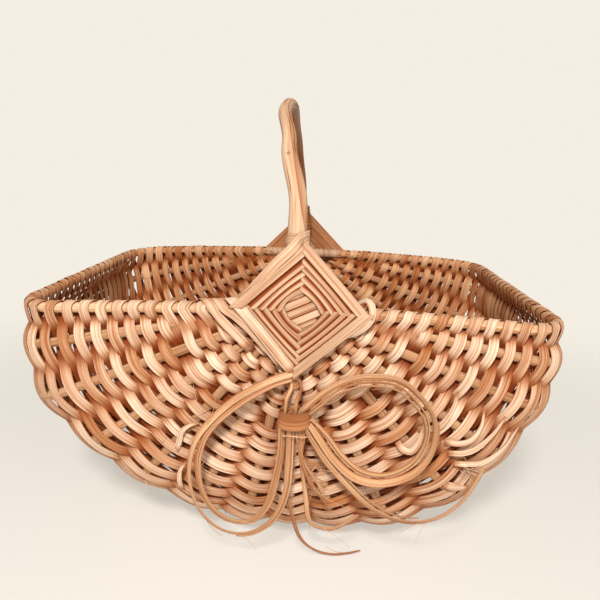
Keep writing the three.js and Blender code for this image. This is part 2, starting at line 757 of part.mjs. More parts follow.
// Flat reed band round the front foot, just over the eye's top corner.
function footWrap() {
  const z = EYE_HALF_DIAGONAL + FOOT_WRAP_ABOVE_EYE;
  const frame = legFrame(-1, z);
  const inner = HANDLE_FOOT_RADIUS + GAP;
  const slope = Math.tan(rad(FOOT_WRAP_TILT));
  const rings = [];
  for (let i = 0; i < WRAP_STEPS; i += 1) {
    const turn = (i / WRAP_STEPS) * 2 * Math.PI;
    const corner = (thick, high) => {
      const radius = inner / Math.cos(Math.PI / WRAP_STEPS) + thick * FOOT_WRAP_THICKNESS;
      const rise = (high * FOOT_WRAP_HEIGHT) / 2 + slope * radius * Math.cos(turn);
      const center = legFrame(-1, z + rise).center;
      return center
        .addScaledVector(frame.across, radius * Math.cos(turn))
        .addScaledVector(frame.forward, radius * Math.sin(turn));
    };
    rings.push([corner(0, -1), corner(1, -1), corner(1, 1), corner(0, 1)]);
  }
  return skin(rings, true);
}
addPiece('front_foot_wrap', footWrap(), REED_EYE);

// Bow: a two-turn knot band and flat strands that start a clearance from it.
const KNOT_LEVEL = EYE_HALF_DIAGONAL + KNOT_DROP + KNOT_HEIGHT / 2;
const knotCenter = vec(KNOT_ACROSS, -(RIM_HALF_DEPTH + KNOT_STANDOFF), -KNOT_LEVEL);

function knotBody() {
  const levels = [-1, -0.92, -0.5, -0.08, 0.08, 0.5, 0.92, 1];
  const swells = [0.8, 0.92, 1, 0.9, 0.9, 1, 0.92, 0.8];
  const rings = levels.map((level, i) => {
    const ring = [];
    for (let j = 0; j < WRAP_STEPS; j += 1) {
      const turn = ((j + 0.5) / WRAP_STEPS) * 2 * Math.PI;
      const squared = (v) => Math.sign(v) * Math.abs(v) ** 0.6;
      const x = (swells[i] * squared(Math.cos(turn)) * KNOT_WIDTH) / 2;
      const y = (swells[i] * squared(Math.sin(turn)) * KNOT_DEPTH) / 2;
      ring.push(knotCenter.clone().add(vec(x, y, (level * KNOT_HEIGHT) / 2)));
    }
    return ring;
  });
  return skin(rings, false);
}
addPiece('bow_knot', knotBody(), REED_BOW);

function strandBody({ tilt, points, table }) {
  const control = points.map(([x, out, z]) => vec(x, -out, z).add(knotCenter));
  const lying = (table ?? []).map(([x, out]) => {
    const z = -STANDING_DEPTH + BOW_STRIP_THICKNESS / 2 + TAIL_REST_GAP;
    return vec(x + knotCenter.x, knotCenter.y - out, z);
  });
  const route = [...control, ...lying];
  const curve = new THREE.CatmullRomCurve3(route, false, 'centripetal');
  const line = curve.getPoints(RIBBON_STEPS * (route.length - 1));
  const along = tangents(line, false);
  const normals = along.map((t) => {
    const flat = vec(t.z, 0, -t.x).normalize();
    return flat.multiplyScalar(Math.cos(rad(tilt))).add(vec(0, -Math.sin(rad(tilt)), 0));
  });
  return strip(line, normals, BOW_STRIP_WIDTH, BOW_STRIP_THICKNESS);
}
BOW_STRANDS.forEach((strand) => addPiece(strand.name, strandBody(strand), REED_BOW));

// The keel's flat underside, midway between the eyes, is the origin.
group.position.set(0, 0, STANDING_DEPTH);
group.updateMatrixWorld(true);

export default group;
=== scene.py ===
"""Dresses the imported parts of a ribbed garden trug: round rods and ribs, one
long flat weaver laced over and under them, two lashed eyes, a peeled handle,
cord and reed bindings, and a loose reed bow. Lengths in the shape functions
are millimetres, measured from the middle of the rim plane."""
import math

import bpy
import numpy as np
from mathutils import Matrix, Vector


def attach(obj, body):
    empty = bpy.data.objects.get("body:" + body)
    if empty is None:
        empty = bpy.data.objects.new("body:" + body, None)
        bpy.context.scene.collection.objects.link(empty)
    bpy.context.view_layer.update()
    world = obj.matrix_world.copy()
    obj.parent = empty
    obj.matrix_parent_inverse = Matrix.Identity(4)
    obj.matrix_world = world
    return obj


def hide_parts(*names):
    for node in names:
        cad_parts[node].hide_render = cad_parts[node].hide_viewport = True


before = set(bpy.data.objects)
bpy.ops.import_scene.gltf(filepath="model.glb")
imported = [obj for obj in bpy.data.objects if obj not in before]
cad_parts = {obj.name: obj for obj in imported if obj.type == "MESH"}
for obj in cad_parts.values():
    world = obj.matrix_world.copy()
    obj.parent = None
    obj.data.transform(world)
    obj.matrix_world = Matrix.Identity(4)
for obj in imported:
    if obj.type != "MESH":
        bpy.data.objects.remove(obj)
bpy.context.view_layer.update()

bl_info = {
    "name": "Garden Trug",
    "version": (1, 0, 0),
    "blender": (4, 5, 0),
    "location": "View3D > Sidebar > Trug",
    "description": "Weaves, lashes and finishes a ribbed garden trug round its packed parts",
    "category": "Add Mesh",
}

MM = 0.001
BODY = "root"
UP = np.array([0, 0, 1.0])
FORWARD = np.array([0, -1.0, 0])

# The rods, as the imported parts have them. Side -1 is left and 1 is right.
RIM_HALVES = {-1: 217, 1: 205}
RIM_HALF_DEPTH = 150.5
RIM_CORNER_RADIUS = 36
RIM_ROD_RADIUS = 4
RIM_END_DROP = 8
BACK_EYE_SHIFT = -6
KEEL_DEPTH = 203
KEEL_RADIUS = 4.4
KEEL_SIDES = 10
KEEL_ANGLE = math.radians(89.9)
KEEL_TAPER_END = 40
STANDING_DEPTH = KEEL_DEPTH + KEEL_RADIUS * math.cos(math.pi / KEEL_SIDES)
BOTTOM_CORNER_RADIUS = 62
SWELLS = {-1: 2.2, 1: 2.35}
RIB_ANGLES = {-1: (8.5, 21, 35.5, 50, 65.5, 79), 1: (7.5, 18.5, 33, 48, 65, 79)}
RIB_BULGES = {-1: (7.5, 11, 2, -1.5, -2.5, 0), 1: (4.5, 5, 0.5, 4.5, 5, 0)}
RIB_STARTS = (92, 31, 31, 31, 31, 41)
RIB_RADIUS = 3.8
RIB_TIP_RADIUS = 1.6
RIB_TAPER = 26
FLAT_BOTTOM_ANGLE = 75
HANDLE_HEIGHT = 160
HANDLE_SQUARENESS = 2.5
HANDLE_FOOT_RADIUS = 7.2
HANDLE_TOP_RADIUS = 5.2
CROSSING_RADIUS = 5.6
FOOT_HEIGHT = 58
HANDLE_LEANS = (0, -1.5, -11, -18.5, -16.5, -18, -16, -13, BACK_EYE_SHIFT)
EYE_HALF_DIAGONAL = 48

# The bottom rods are lifted by the strips that run under them, so that the
# weave itself comes down to the table.
UNDER_WEAVE = 1.9
WEAVE_CLEARANCE = 0.15


# Settings
def length(name, description, millimetres, least=0.1, most=200.0):
    """A setting kept in metres, given here in millimetres."""
    return bpy.props.FloatProperty(
        name=name, description=description, default=millimetres * MM,
        min=least * MM, max=most * MM, unit="LENGTH", subtype="DISTANCE", precision=5)


def colour(name, description, value):
    """A setting of three shares of red, green and blue."""
    return bpy.props.FloatVectorProperty(
        name=name, description=description, default=value, size=3,
        min=0, max=1, subtype="COLOR")


def number(name, description, value, least, most):
    """A setting in whole numbers."""
    return bpy.props.IntProperty(
        name=name, description=description, default=value, min=least, max=most)


def angle(name, description, degrees):
    """A setting kept in radians, given here in degrees."""
    return bpy.props.FloatProperty(
        name=name, description=description, default=math.radians(degrees),
        min=-math.pi, max=math.pi, subtype="ANGLE")


def amount(name, description, value, kind="NONE"):
    """A setting of 0 or more."""
    return bpy.props.FloatProperty(
        name=name, description=description, default=value, min=0, unit=kind)


class TrugColours(bpy.types.PropertyGroup):
    """Colours of the reeds and woods."""
    weaver_light: colour("Weaver light", "Palest tone of the weaver", (0.82, 0.635, 0.48))
    weaver_deep: colour("Weaver deep", "Deepest tone of the weaver", (0.43, 0.17, 0.06))
    rod: colour("Rods", "Rim rod and ribs", (0.74, 0.48, 0.29))
    handle_light: colour("Handle light", "Peeled handle, pale side", (0.7, 0.48, 0.315))
    handle_deep: colour("Handle deep", "Peeled handle, cracks and scars", (0.3, 0.11, 0.04))
    # Painted shade: the deep brown laid where strips cover each other, on their back faces and where
    # they run under the weave.
    recess: colour("Recesses", "Old tone kept in the hollows between strips", (0.22, 0.035, 0.003))
    eye: colour("Eyes", "Reed of the lashed eyes", (0.7, 0.48, 0.33))
    cord: colour("Cord", "Cord on the back foot", (0.5, 0.2, 0.075))
    bow: colour("Bow", "Reed of the bow", (0.74, 0.47, 0.275))


class TrugWeave(bpy.types.PropertyGroup):
    """Sizes of the woven wall."""
    courses: number("Courses", "Passes of the weaver from rim to rim", 96, 20, 200)
    width: length("Strip width", "Width of the flat weaver", 8.3, 2, 20)
    thickness: length("Strip thickness", "Thickness of the flat weaver", 1.05, 0.3, 4)
    crest_tilt: angle("Tilt on ribs", "Lean of a strip where it lies on a rib", 8)
    span_tilt: angle("Tilt between ribs", "Lean of a strip midway between ribs", 15)
    unevenness: length("Unevenness", "How far courses stray from even spacing", 0.75, 0, 5)
    seed: number("Seed", "Start of the random draws", 11, 0, 9999)


class TrugEyes(bpy.types.PropertyGroup):
    """Sizes of the lashed eyes."""
    width: length("Strip width", "Width of the eye's reed", 8.0, 2, 20)
    thickness: length("Strip thickness", "Thickness of the eye's reed", 1.0, 0.3, 4)
    spread: length("Spread", "Distance of the outermost round from the middle", 33.1, 20, 50)
    rise: length("Rise", "How far the outer rounds stand in front of the inner ones", 2.2, 0, 10)


class TrugBow(bpy.types.PropertyGroup):
    """Sizes of the bow."""
    width: length("Strand width", "Width of the bow's reed", 6.5, 2, 20)
    thickness: length("Strand thickness", "Thickness of the bow's reed", 0.95, 0.3, 4)
    fibres: number("Fibres", "Stray fibres on the bow and the lower weave", 34, 0, 200)


class TrugStage(bpy.types.PropertyGroup):
    """The floor and the lamps."""
    floor: colour("Floor", "Colour of the floor", (0.9, 0.89, 0.87))
    backdrop: colour("Backdrop", "Colour behind the basket", (0.905, 0.855, 0.765))
    key: amount("Key lamp", "Watts of the main lamp", 27, "POWER")
    fill: amount("Fill lamp", "Watts of the soft fill lamp", 7, "POWER")
    sky: amount("Sky", "Strength of the even light all round", 0.2)


GROUPS = {"trug_colours": TrugColours, "trug_weave": TrugWeave, "trug_eyes": TrugEyes,
          "trug_bow": TrugBow, "trug_stage": TrugStage}


# Arithmetic
def smooth(t):
    """Eases from 0 to 1: three times the square less twice the cube."""
    t = np.clip(t, 0, 1)
    return t * t * (3 - 2 * t)


def fade(value, low, high):
    """Eases from 0 at a low value to 1 at a high one."""
    return smooth((value - low) / (high - low))


def turns(count):
    """Even turns all the way round, in radians, without the last."""
    return np.linspace(0, 2 * math.pi, count, endpoint=False)


def mix(a, b, t):
    """The first value plus a share of the way to the second."""
    return a + (b - a) * t


def unit(v):
    """Vectors divided by their lengths."""
    return v / np.maximum(np.linalg.norm(v, axis=-1, keepdims=True), 1e-9)


def dot(a, b):
    """Sum of the products of two vectors' parts."""
    return (a * b).sum(-1, keepdims=True)


def extended(p):
    """A line with one more point at each end, mirrored from its neighbour."""
    return np.concatenate([2 * p[:1] - p[1:2], p, 2 * p[-1:] - p[-2:-1]])


def slopes(points, closed=False):
    """Unit direction of a line at each of its points, from the neighbours."""
    if closed:
        return unit(np.roll(points, -1, 0) - np.roll(points, 1, 0))
    padded = extended(points)
    return unit(padded[2:] - padded[:-2])


def travelled(points):
    """Distance along a line of points, from its first."""
    steps = np.linalg.norm(np.diff(points, axis=0), axis=1)
    return np.concatenate([[0], np.cumsum(steps)])


def share_along(points):
    """Distance along a line of points, as a share of the whole."""
    return travelled(points) / travelled(points)[-1]


def wander(rng, where, wavelength):
    """A smooth random line between about -1 and 1: random values one
    wavelength apart, eased from each to the next."""
    place = (where - where.min()) / wavelength
    knots = rng.uniform(-1, 1, int(place.max()) + 2)
    i = place.astype(int)
    return mix(knots[i], knots[i + 1], smooth(place - i))


def flowing(points, per_span):
    """Smooth line through control points: a cubic from each to the next whose
    end slopes follow the neighbours, weighted by the distances between them."""
    p = extended(np.asarray(points, float))
    gap = np.maximum(np.linalg.norm(np.diff(p, axis=0), axis=1), 1e-6)[:, None] ** 0.5
    a, b, c, d = p[:-3], p[1:-2], p[2:-1], p[3:]
    g0, g1, g2 = gap[:-2], gap[1:-1], gap[2:]
    out_slope = ((b - a) / g0 - (c - a) / (g0 + g1) + (c - b) / g1) * g1
    in_slope = ((c - b) / g1 - (d - b) / (g1 + g2) + (d - c) / g2) * g1
    t = np.linspace(0, 1, per_span, endpoint=False)[None, :, None]
    b, c, out_slope, in_slope = b[:, None], c[:, None], out_slope[:, None], in_slope[:, None]
    line = ((2 * t ** 3 - 3 * t ** 2 + 1) * b + (t ** 3 - 2 * t ** 2 + t) * out_slope
            + (3 * t ** 2 - 2 * t ** 3) * c + (t ** 3 - t ** 2) * in_slope)
    return np.concatenate([line.reshape(-1, 3), p[-2:-1]])


# The fan of rods
def reach(side, theta):
    """Distance from the line between the eyes to a rod's far side: a
    superellipse under the rim with each rib's own bulge, pressed flat at the
    bottom."""
    if theta >= math.radians(FLAT_BOTTOM_ANGLE):
        below = RIB_RADIUS if theta < KEEL_ANGLE else STANDING_DEPTH - KEEL_DEPTH
        return (STANDING_DEPTH - below - UNDER_WEAVE) / math.sin(theta)
    swell = SWELLS[side]
    across = abs(math.cos(theta) / RIM_HALVES[side]) ** swell
    down = abs(math.sin(theta) / KEEL_DEPTH) ** swell
    bulge = float(np.interp(math.degrees(theta), (0, *RIB_ANGLES[side]), (0, *RIB_BULGES[side])))
    return (across + down) ** (-1 / swell) + bulge


def fan_point(side, theta, out, y):
    """Point of the rod at an angle under the rim, from its distance to the line
    between the eyes and its depth. The rim's ends hang a little, by the square
    of their distance, and the rods run to a back eye that sits off centre."""
    toward = 0.5 + 0.5 * y / RIM_HALF_DEPTH
    skew = BACK_EYE_SHIFT * toward * np.maximum(0, 1 - out / reach(side, theta))
    across = side * out * math.cos(theta)
    drop = RIM_END_DROP * (across / RIM_HALVES[side]) ** 2 * math.cos(theta)
    return np.stack([across + skew, y, -out * math.sin(theta) - drop], -1)


def rod_spans(side, theta):
    """Face length, corner radius and whole length of a rod's line."""
    far = reach(side, theta)
    corner = mix(RIM_CORNER_RADIUS, BOTTOM_CORNER_RADIUS, math.sin(theta))
    face = far - corner
    return face, corner, 2 * (face + corner * math.pi / 2 + RIM_HALF_DEPTH - corner)


def rod_point(side, theta, s):
    """Point of a rod's centre line at a distance along it from the front eye:
    straight out over the front, a quarter turn of its own corner radius, along
    the end of the basket, and back to the other eye in mirror image."""
    face, corner, whole = rod_spans(side, theta)
    near = np.minimum(s, whole - s)
    turn = np.clip((near - face) / corner, 0, math.pi / 2)
    beyond = np.maximum(0, near - face - corner * math.pi / 2)
    out = np.minimum(near, face) + corner * np.sin(turn)
    y = -RIM_HALF_DEPTH + corner * (1 - np.cos(turn)) + beyond
    return fan_point(side, theta, out, np.where(s > whole / 2, -y, y))


def rod_radius(theta, start, near):
    """Radius of a rod at a distance from the nearer eye: ribs are whittled to a
    tip, and the keel thickens towards the crossing."""
    if theta == 0:
        return np.full(near.shape, float(RIM_ROD_RADIUS))
    if theta > KEEL_ANGLE:
        return mix(CROSSING_RADIUS, KEEL_RADIUS, smooth(near / KEEL_TAPER_END))
    return mix(RIB_TIP_RADIUS, RIB_RADIUS, np.clip((near - start) / RIB_TAPER, 0, 1))


def rod_lines():
    """The rods that the weaver crosses, from the left rim under the basket to
    the right rim: side, angle under the rim, and where each starts."""
    left, right = ([(side, math.radians(a), s) for a, s in zip(RIB_ANGLES[side], RIB_STARTS)]
                   for side in (-1, 1))
    return [(-1, 0.0, 0), *left, (1, math.pi / 2, 0), *right[::-1], (1, 0.0, 0)]


def arch_point(t):
    """Handle arch from the front foot to the back: a squared half circle that
    leans to the left on its way over."""
    turn = t * math.pi
    power = 2 / HANDLE_SQUARENESS
    y = -np.sign(np.cos(turn)) * RIM_HALF_DEPTH * np.abs(np.cos(turn)) ** power
    z = HANDLE_HEIGHT * np.abs(np.sin(turn)) ** power
    leans = np.array(HANDLE_LEANS, float)
    place = t * (len(leans) - 1)
    i = np.minimum(len(leans) - 2, place.astype(int))
    x = mix(leans[i], leans[i + 1], smooth(place - i))
    return np.stack([x, y, z], -1)


def leg_point(sign, z):
    """Point of the handle's front or back leg at a height over the rim."""
    turn = np.arcsin((np.asarray(z, float) / HANDLE_HEIGHT) ** (HANDLE_SQUARENESS / 2))
    return arch_point(turn / math.pi if sign < 0 else 1 - turn / math.pi)


def leg_frame(sign, z):
    """Centre, across and outward directions of a handle leg at some heights."""
    centre = leg_point(sign, z)
    up = unit(leg_point(sign, z + 1) - leg_point(sign, z - 1))
    across = unit(np.array([1.0, 0, 0]) - up[..., :1] * up)
    return centre, across, np.cross(across, up)


def hoop_radius(z):
    """Radius of the handle hoop at a height over the rim."""
    foot = mix(CROSSING_RADIUS, HANDLE_FOOT_RADIUS, smooth(z / FOOT_HEIGHT))
    upper = mix(foot, HANDLE_TOP_RADIUS, smooth((z - FOOT_HEIGHT) / (HANDLE_HEIGHT - FOOT_HEIGHT)))
    return np.where(z >= 0, upper, mix(CROSSING_RADIUS, KEEL_RADIUS, smooth(-z / KEEL_TAPER_END)))


# Meshes
def skin_faces(rings, sides, closed):
    """Quads between neighbouring rings, each joined round."""
    i = np.arange(rings if closed else rings - 1)[:, None]
    j = np.arange(sides)[None]
    a, b = i * sides, ((i + 1) % rings) * sides
    k = (j + 1) % sides
    return np.stack([a + j, a + k, b + k, b + j], -1).reshape(-1, 4)


class Batch:
    """Gathers swept bodies, with what their materials read, into one mesh."""

    def __init__(self):
        self.points, self.faces, self.total = [], [], 0
        self.grain, self.tone, self.lie = [], [], []

    def add(self, rings, grain, tone, closed=False, recess=0.1, inside=0.0):
        """Takes rings of points (n, sides, 3), the grain place of each point, a
        tone for each ring, how much painted shade each point gets where strips
        cover each other, and whether it looks into the basket, which the finish
        also paints in shade. A body that comes out inside out is turned, so
        that its faces look outwards. Open ends are closed."""
        n, sides, _ = rings.shape
        edge = np.abs(STRIP_ACROSS) if sides == len(STRIP_ACROSS) else np.zeros(sides)
        lie = np.zeros((n, sides, 3))
        lie[..., 0], lie[..., 1], lie[..., 2] = edge, recess, inside
        self.lie.append(lie.reshape(-1, 3))
        faces = skin_faces(n, sides, closed)
        flat = rings.reshape(-1, 3)
        caps = [] if closed else [list(range(sides))[::-1], list(range((n - 1) * sides, n * sides))]
        a, b, c, d = (flat[faces[:, m]] for m in range(4))
        middle = flat.mean(0)
        volume = (np.cross(b - a, c - a) * (a - middle)).sum() + (
            np.cross(c - a, d - a) * (a - middle)).sum()
        if volume < 0:
            faces = faces[:, ::-1]
            caps = [cap[::-1] for cap in caps]
        self.faces += (faces + self.total).tolist()
        self.faces += [[v + self.total for v in cap] for cap in caps]
        self.points.append(flat)
        self.grain.append(grain.reshape(-1, 3))
        self.tone.append(np.repeat(np.broadcast_to(tone, n), sides))
        self.total += n * sides

    def build(self, name, material, slot, nodes):
        """Makes the piece, rides it on the basket and hides the nodes it stands for."""
        if not self.total:
            raise RuntimeError(f"{name} has no shape")
        flat = np.concatenate(self.points) + (0, 0, STANDING_DEPTH)
        mesh = bpy.data.meshes.new(name)
        mesh.from_pydata((flat * MM).tolist(), [], self.faces)
        for label, kind, key, values in (
                ("grain", "FLOAT_VECTOR", "vector", np.concatenate(self.grain) * MM),
                ("lie", "FLOAT_VECTOR", "vector", np.concatenate(self.lie)),
                ("tone", "FLOAT", "value", np.concatenate(self.tone))):
            attribute = mesh.attributes.new(label, kind, "POINT")
            attribute.data.foreach_set(key, values.astype(np.float32).ravel())
        mesh.polygons.foreach_set("use_smooth", np.ones(len(mesh.polygons), bool))
        mesh.update()
        if mesh.validate():
            raise RuntimeError(f"{name} has a faulty mesh")
        mesh.materials.append(material)
        piece = bpy.data.objects.new(name, mesh)
        bpy.context.scene.collection.objects.link(piece)
        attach(piece, BODY)
        if nodes:
            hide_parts(*nodes)
        return piece


# A strip's section: the places of its corners across the half width, how far
# they stand from the middle, as shares of half the thickness, and which corner
# is the edge across from the first.
STRIP_ACROSS = np.array([-1, -0.965, -0.91, -0.85, 0, 0.85, 0.91, 0.965,
                         1, 0.965, 0.91, 0.85, 0, -0.85, -0.91, -0.965])
STRIP_CROWN = np.array([0, 0.7, 0.95, 1, 1.05, 1, 0.95, 0.7,
                        0, -0.7, -0.95, -1, -1.05, -1, -0.95, -0.7])

FAR_EDGE = 8

# How far apart the grain of two reeds lies for each step of their seeds.
STRIP_SEED_STEP = 40
ROD_SEED_STEP = 97

# A rod's radius wavers in lobes round it, over these lengths of the rod.
ROD_LOBES = (1, 2, 3, 4)
WAVER_LENGTHS = (60, 170)


def strip_rings(line, edgeways, width, thick, seed, closed=False):
    """A flat reed carried along a line: a section with rounded edges and
    slightly crowned faces, its width lying edgeways square to the line.
    Returns the rings and their grain places."""
    along = slopes(line, closed)
    edge = unit(edgeways - dot(edgeways, along) * along)
    face = np.cross(edge, along)
    width = np.broadcast_to(width, len(line))[:, None, None]
    thick = np.broadcast_to(thick, len(line))[:, None, None]
    across = STRIP_ACROSS[None, :, None] * width / 2
    crown = STRIP_CROWN[None, :, None] * thick / 2
    rings = line[:, None] + across * edge[:, None] + crown * face[:, None]
    where = np.broadcast_to(travelled(line)[:, None], across.shape[:2])
    marks = np.asarray(seed, float).reshape(-1, 1) * STRIP_SEED_STEP + 0 * where
    grain = np.stack([where, across[..., 0], marks + crown[..., 0]], -1)
    return rings, grain


def round_rings(line, level, radius, sides, seed, rng=None, rough=0.0, closed=False):
    """A round rod carried along a line: points at equal turns about it, at a
    radius that wavers slowly along the rod and from side to side."""
    along = slopes(line, closed)
    across = unit(level - dot(level, along) * along)
    outer = np.cross(along, across)
    turn = turns(sides)[None, :]
    where = travelled(line)[:, None]
    size = np.broadcast_to(radius, len(line))[:, None] * np.ones_like(turn)
    if rng is not None and rough:
        for lobes in ROD_LOBES:
            phase, stretch = rng.uniform(0, 2 * math.pi), rng.uniform(*WAVER_LENGTHS)
            whole = max(1, round(where[-1, 0] / stretch)) * 2 * math.pi / max(where[-1, 0], 1)
            size = size * (1 + rough / lobes * np.sin(lobes * turn + phase) * np.cos(
                where * whole + phase * 2))
    spoke = np.cos(turn)[..., None] * outer[:, None] + np.sin(turn)[..., None] * across[:, None]
    rings = line[:, None] + size[..., None] * spoke
    grain = np.stack([where + seed * ROD_SEED_STEP + 0 * turn, size * np.cos(turn),
                      size * np.sin(turn)], -1)
    return rings, grain


# Materials
class Value:
    """One output of a node, so that shader maths reads as ordinary sums."""

    def __init__(self, maker, socket):
        self.maker, self.socket = maker, socket

    def _maths(self, operation, *values):
        """A node that takes one step of arithmetic."""
        return self.maker.node("ShaderNodeMath", {"operation": operation}, dict(enumerate(values)))

    def __add__(self, other):
        return self._maths("ADD", self, other)

    def __sub__(self, other):
        return self._maths("SUBTRACT", self, other)

    def __rsub__(self, other):
        return self._maths("SUBTRACT", other, self)

    def __mul__(self, other):
        return self._maths("MULTIPLY", self, other)

    __radd__ = __add__
    __rmul__ = __mul__


class Finish:
    """Builds one material, or a world, out of nodes."""

    def __init__(self, name, world=None):
        self.material = world or bpy.data.materials.new(name)
        self.material.use_nodes = True
        self.tree = self.material.node_tree
        self.tree.nodes.clear()

    def node(self, kind, settings=None, sockets=None, out=0):
        """Adds a node of a type, makes its settings, then gives its sockets
        their values or links, and returns one of its outputs."""
        made = self.tree.nodes.new(kind)
        for key, value in (settings or {}).items():
            if key == "stops":
                self._ramp(made.color_ramp, value)
            else:
                setattr(made, key, value)
        for key, value in (sockets or {}).items():
            if isinstance(value, Value):
                self.tree.links.new(value.socket, made.inputs[key])
            else:
                made.inputs[key].default_value = value
        return Value(self, made.outputs[out]) if made.outputs else None

    @staticmethod
    def _ramp(ramp, stops):
        """Gives a colour ramp its places and colours."""
        while len(ramp.elements) > 1:
            ramp.elements.remove(ramp.elements[-1])
        for i, (place, value) in enumerate(stops):
            element = ramp.elements[0] if i == 0 else ramp.elements.new(place)
            element.position = place
            element.color = (*value, 1)

    def attribute(self, name, out):
        """What the pieces keep under a name at each of their points."""
        return self.node("ShaderNodeAttribute", {"attribute_name": name}, out=out)

    def stretched(self, vector, scale):
        """A vector with each of its parts multiplied by its own scale."""
        return self.node("ShaderNodeVectorMath", {"operation": "MULTIPLY"}, {0: vector, 1: scale})

    def noise(self, vector, scale, detail, distortion=0.0):
        """A smooth noise of a place that is first stretched by three scales."""
        return self.node("ShaderNodeTexNoise", None, {
            "Vector": self.stretched(vector, scale), "Scale": 1.0, "Detail": detail,
            "Distortion": distortion})

    def most(self, a, b):
        """The larger of two values."""
        return self.node("ShaderNodeMath", {"operation": "MAXIMUM"}, {0: a, 1: b})

    def marks(self, vector, scale, detail, distortion, low, high):
        """1 where a noise is high, 0 where it is low, and eased between."""
        return self.between(self.noise(vector, scale, detail, distortion), low, high)

    def seen(self):
        """1 for what the camera sees directly, in a reflection or through glass."""
        camera, glossy, through = (self.node("ShaderNodeLightPath", out=out) for out in (
            "Is Camera Ray", "Is Glossy Ray", "Is Transmission Ray"))
        return self.most(self.most(camera, glossy), through)

    def place(self):
        """Where a point is on its piece."""
        return self.node("ShaderNodeTexCoord", out="Object")

    def far(self, vector, centre):
        """Distance of a place from a centre."""
        return self.node("ShaderNodeVectorMath", {"operation": "DISTANCE"}, {0: vector, 1: centre},
                         "Value")

    def part(self, vector, index):
        """One of the three parts of a vector."""
        return self.node("ShaderNodeSeparateXYZ", None, {"Vector": vector}, out=index)

    def between(self, value, low, high):
        """0 below low, 1 above high, and eased between."""
        return self.node("ShaderNodeMapRange", {"interpolation_type": "SMOOTHSTEP"},
                         {"Value": value, "From Min": low, "From Max": high})

    def blend(self, factor, a, b, how="MIX"):
        """A colour some share of the way from one to another, or of their product."""
        return self.node("ShaderNodeMix", {"data_type": "RGBA", "blend_type": how},
                         {0: factor, 6: a, 7: b}, out=2)

    def bump(self, height, distance):
        """Normals tilted by the slope of a height, times a distance in metres."""
        return self.node("ShaderNodeBump", None, {"Height": height, "Distance": distance})

    def surface(self, sockets):
        """Ends the material with one shader, and returns it."""
        shader = self.node("ShaderNodeBsdfPrincipled", None, sockets)
        self.node("ShaderNodeOutputMaterial", None, {"Surface": shader})
        return self.material


def rgba(value, times=1.0):
    """A colour with each part multiplied, held to 1, and made opaque."""
    return (*(min(1.0, c * times) for c in value), 1.0)


def toned(light, deep, share):
    """The colour that is some share of the way from a light to a deep one."""
    return tuple(a * (1 - share) + b * share for a, b in zip(light, deep))


def ramp(f, place, stops):
    """The colour at a place between 0 and 1, blended between its neighbouring stops."""
    return f.node("ShaderNodeValToRGB", {"stops": stops}, {"Fac": place})


# Noises of the reed and the wood: scales along, across and through the piece,
# then detail and distortion. A mark has two values more, the levels of its
# noise between which it comes up.
REED_NOISES = {"fibres": ((22, 1500, 1500), 3), "bands": ((9, 380, 380), 2),
               "drift": ((14, 60, 60), 3)}
REED_MARKS = {"grooves": ((7, 640, 640), 2, 0.2, 0.5, 0.66),
              "flecks": ((210, 900, 900), 2, 0, 0.66, 0.8),
              "lines": ((4, 1150, 1150), 1, 0, 0.56, 0.66)}
WOOD_NOISES = {"fine": ((12, 900, 900), 3), "stain": ((10, 95, 95), 3, 0.6)}
WOOD_MARKS = {"streaks": ((6, 430, 430), 2, 0.2, 0.5, 0.63),
              "cracks": ((7, 610, 610), 1, 0, 0.6, 0.66),
              "scars": ((120, 300, 300), 1, 0, 0.74, 0.8)}

# Tints that multiply the base colour, and how strongly: the grooves' own
# tone, then painted shade on faces that look into the basket, where strips
# cover each other, on the handle's right side and on its far leg.
GROOVE_TINT, GROOVE_SHARE = (0.66, 0.42, 0.27, 1.0), 0.62
INSIDE_SHADE_TINT, INSIDE_SHADE_SHARE = (1.0, 0.72, 0.44, 1.0), 0.7
WARM_SHADE_TINT, WARM_SHADE_SHARE = (0.74, 0.5, 0.3, 1.0), 0.75
SHADOW_TINT, SHADOW_SHARE = (0.66, 0.42, 0.28, 1.0), 0.8
FAR_LEG_SHADE_TINT = (0.58, 0.36, 0.23, 1.0)

# Painted shade: over how much of the depth of cover the warm brown comes
# up, how far after it the deep brown starts and where that is full, and
# where the painted shade along a strip's edges starts.
WARM_SHADE_RANGE = 0.46
HOLLOW_SHADE_START = 0.2
HOLLOW_SHADE_FULL = 0.84
EDGE_SHADE_START = 0.84


